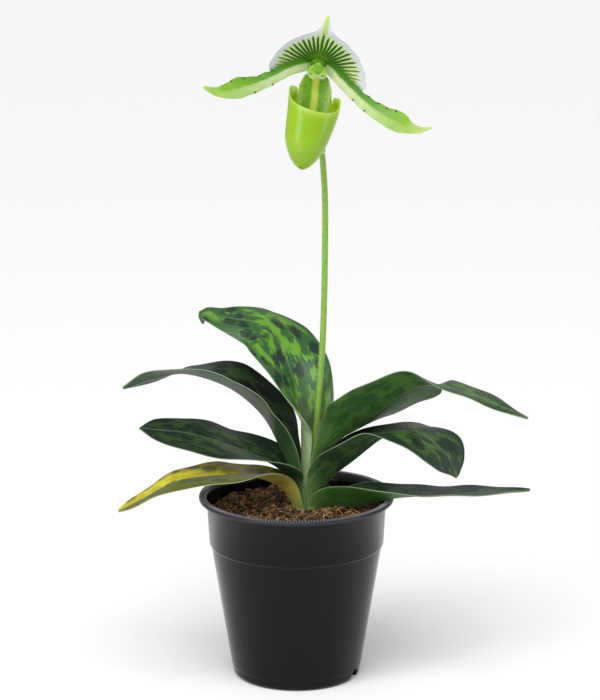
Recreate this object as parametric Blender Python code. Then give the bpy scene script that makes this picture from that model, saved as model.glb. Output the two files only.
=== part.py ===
"""Potted slipper orchid in bloom, built in metres with +Z up.

The origin is the centre of the pot's underside. Sizes and places below are in
millimetres, and solids are made in metres by the factor MM. The plant is seen
from -Y: leaves with odd numbers go left (-X), those with even numbers go right.
"""
import math
import random

import bmesh
import bpy
import numpy as np

MM = 0.001

# Pot
RIM_RADIUS = 52.5
RIM_TOP = 99.6
FLANGE_DEPTH = 2.2
BAND_RADIUS = 48.3
BELT_HEIGHT = 73.5
BELT_RADIUS = 45.9
FOOT_HEIGHT = 6.0
FOOT_RADIUS = 34.5
FOOT_ROUNDING = 2.7
WALL = 1.0
FLOOR = 1.4
POT_SIDES = 48
DRAIN_COUNT = 7
DRAIN_FIRST = -24.0
DRAIN_STEP = 32.0
DRAIN_WIDTH = 10.0
DRAIN_HEIGHT = 5.9

# Potting mix and crown
GAP = 0.3
MIX_TOP = 90.2
MIX_MOUND = 1.4
CROWN_X = 6.0
CROWN_Y = 6.0
CROWN_TOP = 83.2
CROWN_DEPTH = 13.0
CROWN_RADIUS = 7.4
ROOT_COUNT = 6
ROOT_RADIUS = 1.6
CHIP_COUNT = 30
FIBRE_COUNT = 12

# Plant
LEAF_THICKNESS = 0.7
LEAF_ROWS = 18
LEAF_ACROSS = 3
PETAL_THICKNESS = 0.65
SCAPE_RADIUS = 1.65
OVARY_RADIUS = 2.7

# Flower: its centre, and its lean to the right as seen from the front
FLOWER = np.array((11.2, 0.0, 330.0))
FLOWER_LEAN = math.radians(10)


def clear_scene():
    for old in list(bpy.data.objects):
        bpy.data.objects.remove(old, do_unlink=True)


def material(name, colour, roughness, metallic=0.0):
    mat = bpy.data.materials.new(name)
    mat.use_nodes = True
    shader = mat.node_tree.nodes["Principled BSDF"]
    shader.inputs["Base Color"].default_value = (*colour, 1.0)
    shader.inputs["Roughness"].default_value = roughness
    shader.inputs["Metallic"].default_value = metallic
    return mat


def add_solid(name, points, faces, mat=None):
    """One object from points in millimetres and faces that point outwards."""
    mesh = bpy.data.meshes.new(name)
    mesh.from_pydata([tuple(float(c) * MM for c in p) for p in points], [], faces)
    mesh.validate()
    mesh.shade_smooth()
    mesh.set_sharp_from_angle(angle=math.radians(50))
    solid = bpy.data.objects.new(name, mesh)
    bpy.context.scene.collection.objects.link(solid)
    if mat:
        mesh.materials.append(mat)
    return solid


def combine(solid, others, operation, solver="EXACT"):
    """Union or difference of one solid with others, which are used up."""
    group = bpy.data.collections.new(solid.name + "_" + operation.lower())
    for other in others:
        group.objects.link(other)
    step = solid.modifiers.new(operation.title(), "BOOLEAN")
    step.operation = operation
    step.solver = solver
    step.operand_type = "COLLECTION"
    step.collection = group
    graph = bpy.context.evaluated_depsgraph_get()
    result = bpy.data.meshes.new_from_object(solid.evaluated_get(graph))
    solid.modifiers.clear()
    solid.data = result
    for other in others:
        bpy.data.objects.remove(other, do_unlink=True)
    bpy.data.collections.remove(group)
    return solid


def keep_largest(solid):
    """Drop stray bits and shut-in pockets, and merge corners that all but touch."""
    work = bmesh.new()
    work.from_mesh(solid.data)
    unseen, shells = set(work.verts), []
    while unseen:
        edge, shell = [unseen.pop()], []
        while edge:
            vertex = edge.pop()
            shell.append(vertex)
            for link in vertex.link_edges:
                near = link.other_vert(vertex)
                if near in unseen:
                    unseen.remove(near)
                    edge.append(near)
        shells.append(shell)
    shells.sort(key=len)
    for shell in shells[:-1]:
        bmesh.ops.delete(work, geom=shell, context="VERTS")
    bmesh.ops.remove_doubles(work, verts=work.verts, dist=0.02 * MM)
    bmesh.ops.triangulate(work, faces=work.faces)
    work.to_mesh(solid.data)
    work.free()


# Smooth curves through a few chosen points

def smooth(values, where):
    """Catmull-Rom values at the places `where`, counted in control points."""
    values = np.asarray(values, float)
    ends = np.concatenate([2 * values[:1] - values[1:2], values, 2 * values[-1:] - values[-2:-1]])
    where = np.clip(np.asarray(where, float), 0, len(values) - 1 - 1e-9)
    first = where.astype(int)
    part = where - first
    if values.ndim > 1:
        part = part[:, None]
    a, b, c, d = ends[first], ends[first + 1], ends[first + 2], ends[first + 3]
    return 0.5 * (2 * b + (c - a) * part + (2 * a - 5 * b + 4 * c - d) * part ** 2
                  + (3 * b - a - 3 * c + d) * part ** 3)


def even_places(points, count):
    """Places along the curve that cut its length into `count` equal steps."""
    fine = np.linspace(0, len(points) - 1, 401)
    steps = np.linalg.norm(np.diff(smooth(points, fine), axis=0), axis=1)
    length = np.concatenate([[0], np.cumsum(steps)])
    return np.interp(np.linspace(0, length[-1], count + 1), length, fine)


def unit(vectors):
    return vectors / np.linalg.norm(vectors, axis=-1, keepdims=True)


def grid_normals(grid):
    """Normals of a grid of points, to the side that across x along points to."""
    along = np.gradient(grid, axis=0)
    across = np.gradient(grid, axis=1)
    return unit(np.cross(across, along))


def tube(name, points, radii, sides, steps, mat=None, ribs=0.0):
    """A round stem along a smooth curve, closed by flat ends."""
    points = np.array(points, float)
    places = even_places(points, steps)
    centres = smooth(points, places)
    widths = smooth(radii, places * (len(radii) - 1) / (len(points) - 1))
    heading = unit(np.gradient(centres, axis=0))
    side = unit(np.cross(heading, (0.31, 0.94, 0.12)))
    ring = []
    for centre, width, ahead, right in zip(centres, widths, heading, side):
        up = np.cross(right, ahead)
        for k in range(sides):
            turn = 2 * math.pi * k / sides
            reach = width * (1 + ribs * (-1) ** k)
            ring.append(centre + reach * (math.cos(turn) * right + math.sin(turn) * up))
    faces = []
    for row in range(steps):
        for k in range(sides):
            a, b = row * sides + k, row * sides + (k + 1) % sides
            faces.append((a, a + sides, b + sides, b))
    faces.append(tuple(range(sides)))
    faces.append(tuple(reversed(range(steps * sides, (steps + 1) * sides))))
    return add_solid(name, ring, faces, mat)


def turned(name, profile, sides, mat=None, centre=(0.0, 0.0)):
    """A solid of revolution; the profile runs from axis to axis, outside first."""
    points, rings = [], []
    for radius, height in profile:
        if radius == 0:
            rings.append([len(points)])
            points.append((centre[0], centre[1], height))
            continue
        rings.append(list(range(len(points), len(points) + sides)))
        for k in range(sides):
            turn = 2 * math.pi * k / sides
            points.append((centre[0] + radius * math.cos(turn), centre[1] + radius * math.sin(turn), height))
    faces = []
    for low, high in zip(rings, rings[1:]):
        for k in range(sides):
            m = (k + 1) % sides
            if len(low) == 1:
                faces.append((low[0], high[m], high[k]))
            elif len(high) == 1:
                faces.append((low[k], low[m], high[0]))
            else:
                faces.append((low[k], low[m], high[m], high[k]))
    return add_solid(name, points, faces, mat)


def sheet(name, grid, thickness, mat):
    """A thin closed blade: the grid is its front, split alike on both faces."""
    rows, columns = grid.shape[:2]
    back = grid - thickness * grid_normals(grid)
    points = list(grid.reshape(-1, 3)) + list(back.reshape(-1, 3))
    behind = rows * columns

    def at(row, column):
        return row * columns + column

    faces = []
    for row in range(rows - 1):
        for column in range(columns - 1):
            a, b = at(row, column), at(row, column + 1)
            c, d = at(row + 1, column + 1), at(row + 1, column)
            if column < columns // 2:
                halves = ((a, b, d), (b, c, d))
            else:
                halves = ((a, b, c), (a, c, d))
            for half in halves:
                faces.append(half)
                faces.append(tuple(behind + k for k in reversed(half)))
    edge = [at(0, k) for k in range(columns)] + [at(k, columns - 1) for k in range(1, rows)]
    edge += [at(rows - 1, k) for k in range(columns - 2, -1, -1)] + [at(k, 0) for k in range(rows - 2, 0, -1)]
    for a, b in zip(edge, edge[1:] + edge[:1]):
        faces.append((b, a, behind + a))
        faces.append((b, behind + a, behind + b))
    return add_solid(name, points, faces, mat)


def blade(stations, rows, across):
    """Grid of a leaf or petal from stations along its keel, base to tip.

    A station is the keel's place, the way the upper face looks, half the width,
    the fold of each half up from flat at the keel, and its further bend, the cup,
    on the way to the margin. Columns run from the left-hand margin to the right.
    """
    keel = np.array([s[0] for s in stations], float)
    places = even_places(keel, rows)
    centre = smooth(keel, places)
    ahead = unit(smooth(keel, places + 1e-3) - smooth(keel, places - 1e-3))
    face = smooth(unit(np.array([s[1] for s in stations], float)), places)
    face = unit(face - np.sum(face * ahead, axis=1)[:, None] * ahead)
    right = np.cross(ahead, face)
    half = np.maximum(smooth([float(s[2]) for s in stations], places), 0.5)
    fold = np.radians(smooth([float(s[3]) for s in stations], places))
    cup = np.radians(smooth([float(s[4]) for s in stations], places))
    columns = []
    for column in range(-across, across + 1):
        reach, hand = abs(column) / across, math.copysign(1, column)
        bend = fold[:, None] + cup[:, None] * reach * np.linspace(0, 1, 21)
        out = hand * half * reach * np.cos(bend).mean(axis=1)
        rise = half * reach * np.sin(bend).mean(axis=1)
        columns.append(centre + out[:, None] * right + rise[:, None] * face)
    return np.stack(columns, axis=1)


# The pot and what fills it

def pot_outline():
    """The outside of the pot, from the middle of its flat underside to the rim's inner lip."""
    corner = [(FOOT_RADIUS - FOOT_ROUNDING * (1 - math.sin(turn)), FOOT_ROUNDING * (1 - math.cos(turn)))
              for turn in (0.0, math.pi / 6, math.pi / 3, math.pi / 2)]
    flange = RIM_TOP - FLANGE_DEPTH
    return [(0, 0)] + corner + [
        (FOOT_RADIUS + 0.1, FOOT_HEIGHT - 0.5), (FOOT_RADIUS + 0.7, FOOT_HEIGHT),
        (BELT_RADIUS, BELT_HEIGHT - 1.5), (BELT_RADIUS + 1.0, BELT_HEIGHT),
        (BAND_RADIUS, flange), (RIM_RADIUS - 0.7, flange), (RIM_RADIUS, flange + 0.6),
        (RIM_RADIUS, RIM_TOP - 0.7), (RIM_RADIUS - 0.6, RIM_TOP), (BAND_RADIUS + 0.6, RIM_TOP)]


def inside_radius(height):
    """Radius of the pot's inner wall at a height."""
    heights = [FLOOR, FOOT_HEIGHT + 1, BELT_HEIGHT - 1.5, BELT_HEIGHT, RIM_TOP - FLANGE_DEPTH]
    radii = [FOOT_RADIUS - 2.4, FOOT_RADIUS + 0.8, BELT_RADIUS, BELT_RADIUS + 1.0, BAND_RADIUS]
    return float(np.interp(height, heights, radii)) - WALL


def pot():
    inner = [(inside_radius(h), h) for h in (RIM_TOP - 1.6, BELT_HEIGHT + 0.4, BELT_HEIGHT - 1.9,
                                             FOOT_HEIGHT + 1, FLOOR)]
    body = turned("pot", pot_outline() + inner + [(0, FLOOR)], POT_SIDES,
                  material("black_plastic", (0.012, 0.013, 0.015), 0.35))
    return combine(body, drain_cutters(), "DIFFERENCE")


def drain_cutters():
    """Pointed arches through the wall and the edge of the floor at the foot."""
    cutters = []
    half = DRAIN_WIDTH / 2
    arch = ((-half, -1.0), (half, -1.0), (half * 0.72, DRAIN_HEIGHT * 0.55), (0, DRAIN_HEIGHT),
            (-half * 0.72, DRAIN_HEIGHT * 0.55))
    for number in range(DRAIN_COUNT):
        turn = math.radians(DRAIN_FIRST + DRAIN_STEP * number)
        out = np.array((math.cos(turn), math.sin(turn), 0))
        right = np.array((-out[1], out[0], 0))
        ends = [[out * reach + right * x + np.array((0, 0, z)) for x, z in arch]
                for reach in (FOOT_RADIUS - 4.5, FOOT_RADIUS + 4)]
        count = len(arch)
        faces = [tuple(reversed(range(count))), tuple(range(count, 2 * count))]
        faces += [(k, (k + 1) % count, count + (k + 1) % count, count + k) for k in range(count)]
        cutters.append(add_solid(f"drain_{number}", ends[0] + ends[1], faces))
    return cutters


def root_path(number, longer):
    """A root goes out from the crown and down through the mix."""
    turn = 2 * math.pi * (number + 0.35) / ROOT_COUNT
    reach = 20 + 6 * math.sin(3.1 * number)
    low = 14 + 7 * (number % 3) - longer
    out = np.array((math.cos(turn), math.sin(turn)))
    swing = np.array((-out[1], out[0])) * 5 * math.cos(2.3 * number)
    crown = np.array((CROWN_X, CROWN_Y))
    stops = ((4.0, CROWN_TOP - 6, 0, 1.0), (11.0, CROWN_TOP - 11, 0.2, 0.9), (reach * 0.85, 50, 1.0, 0.5),
             (reach, 32, 0.2, 0.3), (reach * 0.92, low, -0.6, 0.2))
    return [(*(crown * share + out * far + swing * aside), height) for far, height, aside, share in stops]


def crown_solids(grow, name):
    """The crown and its roots as loose solids, all larger by `grow`."""
    low = CROWN_TOP - CROWN_DEPTH
    profile = [(0, low - grow), (CROWN_RADIUS * 0.6, low - grow), (CROWN_RADIUS + grow, low + 4),
               (CROWN_RADIUS + grow, CROWN_TOP - 1.5), (CROWN_RADIUS - 1 + grow, CROWN_TOP + grow),
               (0, CROWN_TOP + grow)]
    crown = turned(name, profile, 14, centre=(CROWN_X, CROWN_Y))
    radii = [ROOT_RADIUS * 1.15 + grow, ROOT_RADIUS + grow, ROOT_RADIUS * 0.7 + grow]
    roots = [tube(f"{name}_root_{k}", root_path(k, 1.3 * grow), radii, 6, 7) for k in range(ROOT_COUNT)]
    return crown, roots


def crown_and_roots():
    crown, roots = crown_solids(0.0, "crown_and_roots")
    combine(crown, roots, "UNION")
    crown.data.materials.append(material("root_brown", (0.24, 0.15, 0.08), 0.8))
    return crown


def mix_height(x, y):
    """The rough top of the mix, a little higher in the middle."""
    out = math.hypot(x, y) / inside_radius(MIX_TOP)
    waves = math.sin(0.41 * x + 0.9) * math.sin(0.37 * y) + 0.6 * math.sin(0.83 * x - 0.61 * y)
    return MIX_TOP + MIX_MOUND * (1 - out ** 2) + 0.45 * waves


def potting_mix():
    rng = random.Random(7)
    sides, rings = POT_SIDES, 8
    wall = inside_radius(MIX_TOP) - GAP
    base = [(0, FLOOR + GAP), (inside_radius(FLOOR) - GAP, FLOOR + GAP)]
    wall_line = [(inside_radius(h) - GAP, h) for h in (FOOT_HEIGHT + 1, BELT_HEIGHT - 1.9, BELT_HEIGHT + 0.4)]
    top = [(wall * (1 - k / rings), MIX_TOP) for k in range(rings)] + [(0, MIX_TOP)]
    mix = turned("potting_mix", base + wall_line + top, sides)
    for vertex in mix.data.vertices:
        x, y, z = (c / MM for c in vertex.co)
        if z > MIX_TOP - 0.01:
            vertex.co.z = (mix_height(x, y) + rng.uniform(-0.9, 0.9)) * MM
    lumps = bark_chips(rng) + coco_fibres(rng)
    combine(mix, lumps, "UNION", "MANIFOLD")
    hole, tunnels = crown_solids(1.3 * GAP, "hole")
    well = [(0, CROWN_TOP - 2), (8.6, CROWN_TOP - 2), (10, CROWN_TOP + 2), (13, MIX_TOP - 0.5),
            (13.6, MIX_TOP + 9), (0, MIX_TOP + 9)]
    shaft = turned("shaft", well, 20, centre=(CROWN_X, CROWN_Y))
    combine(mix, [shaft, hole] + tunnels, "DIFFERENCE", "MANIFOLD")
    keep_largest(mix)
    mix.data.materials.append(material("bark_and_fibre", (0.13, 0.07, 0.035), 0.9))
    return mix


def mix_spot(rng, inner, outer):
    """A random place on the mix, clear of the crown and of the pot."""
    while True:
        far, turn = outer * math.sqrt(rng.random()), rng.uniform(0, 2 * math.pi)
        x, y = far * math.cos(turn), far * math.sin(turn)
        if math.hypot(x - CROWN_X, y - CROWN_Y) > inner:
            return x, y


def bark_chips(rng):
    """Flat bits of bark, half sunk in the mix."""
    chips = []
    for number in range(CHIP_COUNT):
        x, y = mix_spot(rng, 14, 39)
        size = np.array((rng.uniform(2.4, 4.6), rng.uniform(1.6, 2.8), rng.uniform(0.9, 1.5)))
        spin, tilt = rng.uniform(0, math.pi), rng.uniform(-0.5, 0.5)
        along = np.array((math.cos(spin), math.sin(spin), tilt))
        across = np.array((-math.sin(spin), math.cos(spin), 0.3 * tilt))
        along, across = unit(along), unit(across - np.dot(across, along) / np.dot(along, along) * along)
        thick = np.cross(along, across)
        middle = np.array((x, y, mix_height(x, y) + 0.15))
        corners = []
        for k in (-1, 1):
            for i, j in ((-1, -0.8), (1, -1), (0.8, 1), (-0.9, 0.8)):
                corners.append(middle + along * size[0] * i + across * size[1] * j + thick * size[2] * k)
        faces = [(3, 2, 1, 0), (4, 5, 6, 7)] + [(k, (k + 1) % 4, 4 + (k + 1) % 4, 4 + k) for k in range(4)]
        chips.append(add_solid(f"chip_{number}", corners, faces))
    return chips


def coco_fibres(rng):
    """Stout strands that arch out of the mix and back into it."""
    strands = []
    for number in range(FIBRE_COUNT):
        x, y = mix_spot(rng, 17, 34)
        spin, span, rise = rng.uniform(0, 2 * math.pi), rng.uniform(5, 8), rng.uniform(1.4, 2.6)
        bow = rng.uniform(-2.5, 2.5)
        points = []
        for far, up, aside in ((-1, -1.2, 0), (-0.5, 0.7, 0.8), (0, 1, 1), (0.5, 0.6, 0.6), (1, -1.2, 0)):
            px = x + span * far * math.cos(spin) - bow * aside * math.sin(spin)
            py = y + span * far * math.sin(spin) + bow * aside * math.cos(spin)
            points.append((px, py, mix_height(px, py) + rise * up))
        strands.append(tube(f"strand_{number}", points, [0.5, 0.5, 0.4], 4, 5))
    return strands


# Leaves: stations are (keel place), (way the upper face looks), half width, fold, cup

LEAVES = {
    "leaf_1": [
        ((-0.6, 6, 84), (1, 0, 0), 8.8, 0, 80), ((-1.9, 5.9, 92), (1, 0, 0.3), 8.8, 8, 72),
        ((-8, 2.2, 103), (4, 0.3, 9), 9.5, 35, 20), ((-21, -9, 112), (1, 1, 9), 13, 20, 0),
        ((-37, -19, 116), (0.5, -1, 10), 15, 9, -5), ((-62, -26, 115), (0, -1, 10), 13.5, 5, -7),
        ((-82, -26, 104.5), (-3, -1, 9), 9, 8, -5), ((-94, -26, 98), (-4, -2, 9), 0.8, 10, -4)],
    "leaf_2": [
        ((12.2, 5.8, 84), (-1, 0.05, 0), 10.2, 0, 90), ((14.6, 5.0, 89.5), (-1, 0.27, 0.5), 10.8, 10, 80),
        ((19.5, -2.2, 94.5), (-2, 4.3, 9), 11.3, 46, 12), ((34, -11, 97), (-2, 2, 9), 14, 50, 5),
        ((53, -17, 103), (0, 1, 10), 14.2, 22, -3), ((76, -22, 106), (0.5, 0.5, 10), 12.5, 11, -3),
        ((103, -25, 108.5), (0, 0, 10), 8, 8, -4), ((123, -27, 110), (0, -1, 10), 0.8, 6, -4)],
    "leaf_3": [
        ((0.6, 6, 84), (1, 0, 0), 6.9, 0, 80), ((0, 6.1, 94), (1, 0.02, 0.2), 7.2, 8, 75),
        ((-4.4, 4.7, 105), (8, 0.6, 5), 9.3, 30, 45), ((-11, -1.2, 116), (4, -1, 9), 15, 27, 10),
        ((-33, -8, 128), (0, -2, 10), 18.3, 9, -5), ((-55, -11, 136), (-1, -3, 9), 16.5, 2, -8),
        ((-74, -13, 139), (-1, -3, 9), 10, 3, -6), ((-83, -13.5, 140), (-2, -3, 9), 0.8, 5, -5)],
    "leaf_4": [
        ((10.8, 6, 84), (-1, 0, 0), 8.2, 0, 90), ((11.9, 5.95, 96), (-1, 0.12, 0.3), 8.1, 8, 80),
        ((18, 2, 108), (-7, 3, 7), 13.3, 42, 35), ((31, -5, 121), (-4, 1, 9), 17, 40, 8),
        ((47, -16, 136.5), (-1, 1, 10), 17, 20, -10), ((62, -27, 142), (2, -2, 10), 17.5, 3, -20),
        ((76, -33, 134), (6, -5, 6), 17, 6, -11), ((81, -34, 126), (7, -6, 5), 11.5, 12, -5),
        ((84, -34.5, 119), (8, -6, 4), 1.5, 20, 0)],
    "leaf_5": [
        ((1.8, 6, 84), (1, 0, 0), 5.1, 0, 80), ((1.4, 6, 98), (1, -0.02, 0.15), 5.4, 5, 78),
        ((-2.3, 6.2, 110), (9, -1.2, 4), 8.0, 25, 50), ((-8.6, 5.5, 125), (8, -1, 5), 12.8, 40, 18),
        ((-18.6, 11, 141.5), (2, 0, 9), 19.5, 34, 0), ((-36, 14, 155.5), (-1, 0, 10), 20, 30, 0),
        ((-59, 17, 162.5), (-2, 2, 9), 16, 17, -8), ((-76, 23, 158.5), (-1, 4, 9), 10.5, 14, -10),
        ((-94, 30, 151), (-3, 7, 6), 1.5, 18, -8)],
    "leaf_6": [
        ((9.6, 6, 84), (-1, 0, 0), 6.3, 10, 85), ((10.6, 7, 104), (-1, 0, 0.1), 6.4, 12, 80),
        ((14, 6.6, 118), (-8, 1, 4), 7.2, 30, 46), ((23.5, 2.6, 130), (-5, 6.4, 5), 14.5, 31, 18),
        ((34, -4.2, 138.8), (-4, 7.4, 4), 21, 26, 6), ((58, -20, 162), (-1, 7, 7), 18.6, 10, -7),
        ((73, -31, 168), (7, -1, 8), 12.3, 12, -10), ((94, -38, 164), (5, -2, 8), 10, 7, -14),
        ((119, -50, 155), (3, -4, 8), 0.8, 2, -15)],
    "leaf_7": [
        ((3, 6, 84), (1, 0, 0), 5.2, 30, 70), ((3, 6.9, 110), (1, -0.05, 0), 5.1, 30, 70),
        ((3, 9, 132), (9, -4, 0), 9.6, 30, 60), ((2, 9.5, 148), (5, -8, 2.5), 19.3, 30, 34),
        ((-8.8, 19.9, 178.3), (5, -6, 6), 22.2, 7, -6), ((-19.2, 25.4, 187.8), (6, -5, 6), 18.8, 0, -21),
        ((-40, 29.5, 190.8), (3, -5, 8), 9.0, 1, -13), ((-50.5, 34, 192), (-2, -5, 8), 4.4, 4, -8),
        ((-51.6, 35, 186.3), (-9, -3, 2), 0.8, 8, -5)],
}


def leaves():
    greens = {"leaf_1": (0.22, 0.21, 0.03), "leaf_7": (0.10, 0.22, 0.05)}
    for name, stations in LEAVES.items():
        skin = material(name + "_green", greens.get(name, (0.03, 0.08, 0.03)), 0.35)
        sheet(name, blade(stations, LEAF_ROWS, LEAF_ACROSS), LEAF_THICKNESS, skin)


# Stem and flower

SCAPE_PATH = [(6.3, 6, 84), (6.6, 6.4, 104), (8.4, 6.6, 119), (10.3, 6, 132), (11.8, 5.5, 150),
              (13.9, 5.5, 181), (14.7, 5.5, 206), (15.1, 6, 232), (15.1, 8, 258), (14.1, 11, 276),
              (13.4, 12.4, 282.6)]
OVARY_PATH = [(13.3, 12.6, 283.2), (13.0, 14.8, 290), (12.6, 17, 300), (11.9, 17.4, 312),
              (11.4, 14, 323), (11.2, 8, 329), (11.2, 3, 330)]
BRACT = [
    ((13.1, 16.7, 288), (0, -1, 0.2), 4.4, 0, 85), ((12.9, 19.2, 294), (0, -1, 0.3), 5.2, 0, 80),
    ((12.6, 21.8, 299), (0, -1, 0.3), 3.8, 0, 70), ((12.4, 24.2, 304), (0, -1, 0.3), 0.7, 10, 40)]


def stem():
    green = material("stem_green", (0.22, 0.42, 0.06), 0.45)
    tube("scape", SCAPE_PATH, [SCAPE_RADIUS, SCAPE_RADIUS, SCAPE_RADIUS * 0.95], 8, 22, green)
    tube("ovary", OVARY_PATH, [1.9, 2.3, OVARY_RADIUS, OVARY_RADIUS, 2.4], 12, 12, green, ribs=0.09)
    sheet("bract", blade(BRACT, 8, 3), 0.6, green)


def in_flower(grid):
    """Turn the flower's own places, x right, y back and z up, by its lean, and set them."""
    x, y, z = grid[..., 0], grid[..., 1], grid[..., 2]
    turned_x = x * math.cos(FLOWER_LEAN) + z * math.sin(FLOWER_LEAN)
    turned_z = z * math.cos(FLOWER_LEAN) - x * math.sin(FLOWER_LEAN)
    return FLOWER + np.stack([turned_x, y, turned_z], axis=-1)


SEPAL_BASE = (0.0, 5.3, 0.3)
SEPAL_ROOT = 3.4
SEPAL_SPREAD = 118
SEPAL_REACH = {
    "right": ((0, 42), (4, 35), (9, 31), (16, 28.8), (30, 28), (50, 29.5), (70, 31), (90, 31), (104, 29),
              (112, 25), (118, 19)),
    "left": ((0, 42), (4, 35), (9, 31), (16, 28.8), (30, 28), (50, 29.5), (70, 30.5), (84, 30), (94, 28),
             (104, 24), (118, 16))}
SEPAL_ROLL = 30.0


def sepal_point(turn, reach):
    """A place on the hood: a flat fan, bent forward lengthwise and down at its sides."""
    across, along = reach * math.sin(turn), reach * math.cos(turn)
    lift = math.radians(65 - 1.6 * min(along, 28)) + math.radians(4.5) * max(along - 28, 0)
    steps = np.linspace(0, along, 30)
    rise = np.radians(65 - 1.6 * np.minimum(steps, 28)) + np.radians(4.5) * np.maximum(steps - 28, 0)
    forward, up = along * np.cos(rise).mean(), along * np.sin(rise).mean()
    droop = SEPAL_ROLL * (1 - math.cos(across / SEPAL_ROLL))
    x = SEPAL_BASE[0] + SEPAL_ROLL * math.sin(across / SEPAL_ROLL)
    y = SEPAL_BASE[1] - forward - droop * math.sin(lift)
    return x, y, SEPAL_BASE[2] + up - droop * math.cos(lift)


def dorsal_sepal():
    mat = material("sepal_white", (0.80, 0.84, 0.74), 0.5)
    spokes, rings = 26, 6
    grid = np.zeros((spokes + 1, rings + 1, 3))
    for i in range(spokes + 1):
        part = 2 * i / spokes - 1
        turn = SEPAL_SPREAD * part * (0.55 + 0.45 * abs(part))
        degrees, reaches = zip(*SEPAL_REACH["right" if turn > 0 else "left"])
        outer = float(np.interp(abs(turn), degrees, reaches))
        for j in range(rings + 1):
            reach = SEPAL_ROOT + (outer - SEPAL_ROOT) * j / rings
            grid[i, j] = sepal_point(math.radians(turn), reach)
    sheet("dorsal_sepal", in_flower(grid[::-1]), PETAL_THICKNESS, mat)


SYNSEPAL = [
    ((0, 4.0, -3.6), (0, -1, -0.2), 3.8, 0, 20), ((0.8, 4.6, -9), (0, -1, -0.2), 6.6, 0, 35),
    ((0, 6.4, -22), (0, -1, 0), 9.0, 0, 40), ((0, 6.8, -33), (0, -1, 0), 5.5, 0, 30),
    ((0, 6.6, -39), (0, -1, 0), 0.7, 0, 20)]
PETAL_LEFT = [
    ((-4.3, 0.2, 1.4), (0, -10, 3), 3.2, -15, -10), ((-7, -2.4, 0.4), (0, -10, 3), 4.0, -20, -12),
    ((-14.7, -6, -2.9), (0, -10, 3), 4.2, -25, -12), ((-22.1, -11, -7.8), (0, -10, 3), 4.5, -28, -12),
    ((-30.1, -15, -12.4), (0, -10, 3), 4.8, -22, -10), ((-37.8, -18, -15.6), (1, -10, 1), 5.6, -10, -5),
    ((-44.5, -20, -18.3), (2, -10, 3), 3.8, 0, 0), ((-50.1, -21, -19.2), (2, -10, 3), 2.2, 0, 0),
    ((-56.3, -22, -18), (1, -10, 3), 0.5, 0, 0)]
PETAL_RIGHT = [
    ((4.3, 0.2, 1.4), (0, -10, 3), 3.2, -15, -10), ((6.9, -2.4, 0.5), (0, -10, 3), 4.0, -20, -12),
    ((11.5, -4.8, -2.7), (0, -10, 3), 4.2, -25, -12), ((21.5, -9.5, -9.4), (0, -10, 3), 4.4, -28, -12),
    ((29, -13, -13.6), (0, -10, 3), 4.6, -22, -10), ((37.9, -16, -17.1), (0, -10, 2), 4.9, -12, -6),
    ((45.5, -18, -19), (-1, -10, 1), 5.4, -4, -3), ((51, -19.4, -20.6), (-2, -10, 3), 3.2, 0, 0),
    ((56.5, -20.8, -20.6), (-2, -10, 3), 1.7, 0, 0), ((62.2, -22, -18.4), (-1, -10, 3), 0.5, 0, 0)]


def petals_and_synsepal():
    green = material("petal_green", (0.22, 0.45, 0.04), 0.45)
    for name, stations, rows in (("petal_left", PETAL_LEFT, 16), ("petal_right", PETAL_RIGHT, 16),
                                 ("synsepal", SYNSEPAL, 7)):
        sheet(name, in_flower(blade(stations, rows, 2)), PETAL_THICKNESS, green)


# The pouch by height: half width, half depth, and the middle's place across and back
POUCH_HEIGHTS = (-3, -8, -12, -16, -20, -25, -31, -37, -42, -46.5, -49.5, -51.2)
POUCH_WIDTHS = (12.4, 12.9, 13.5, 13.6, 13.4, 12.9, 12.1, 11.0, 9.2, 6.8, 4.2, 1.8)
POUCH_DEPTHS = (6.0, 8.0, 9.6, 10.6, 11.2, 11.4, 11.2, 10.4, 8.8, 6.4, 4.0, 1.8)
POUCH_ACROSS = (0.3, 0.4, 0.6, 1.0, 1.2, 1.0, 0.6, 0.2, 0.2, 0.2, 0.3, 0.4)
POUCH_BACK = (-5.3, -7.6, -9.8, -12.0, -13.6, -14.8, -16.0, -17.0, -17.8, -18.4, -18.8, -19.0)
POUCH_TOE = -51.9
# The pouch's edge by angle from the front: height of its rim, ears and claw
EDGE_ANGLES = (0, 30, 60, 78, 90, 102, 114, 124, 132, 140, 150, 164, 180)
EDGE_HEIGHTS = (-19.9, -19.4, -18.0, -15.8, -13.8, -12.6, -12.7, -14.6, -17.0, -11.0, -5.6, -4.4, -4.2)
# The right-hand ear sits lower than the left-hand one by twice this
EAR_DROP = 1.2


def pouch():
    around, down = 36, 11
    rising = np.array(POUCH_HEIGHTS[::-1])
    grid = np.zeros((down + 1, around, 3))
    for k in range(around):
        turn = 2 * math.pi * k / around
        from_front = abs((math.degrees(turn) + 180) % 360 - 180)
        edge = float(np.interp(from_front, EDGE_ANGLES, EDGE_HEIGHTS))
        edge -= EAR_DROP * math.sin(turn) * min(1, max(0, (140 - from_front) / 20))
        for row in range(down + 1):
            part = row / down
            height = edge + (POUCH_HEIGHTS[-1] - edge) * (1.25 * part - 0.25 * part ** 3) ** 0.9
            wide, deep, across, back = (float(np.interp(height, rising, np.array(values[::-1]))) for values in
                                        (POUCH_WIDTHS, POUCH_DEPTHS, POUCH_ACROSS, POUCH_BACK))
            grid[row, k] = (across + wide * math.sin(turn), back - deep * math.cos(turn), height)
    cup_solid("pouch", in_flower(grid), in_flower(np.array((0.4, -19.0, POUCH_TOE))), PETAL_THICKNESS,
              material("pouch_green", (0.30, 0.52, 0.01), 0.3))


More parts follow.
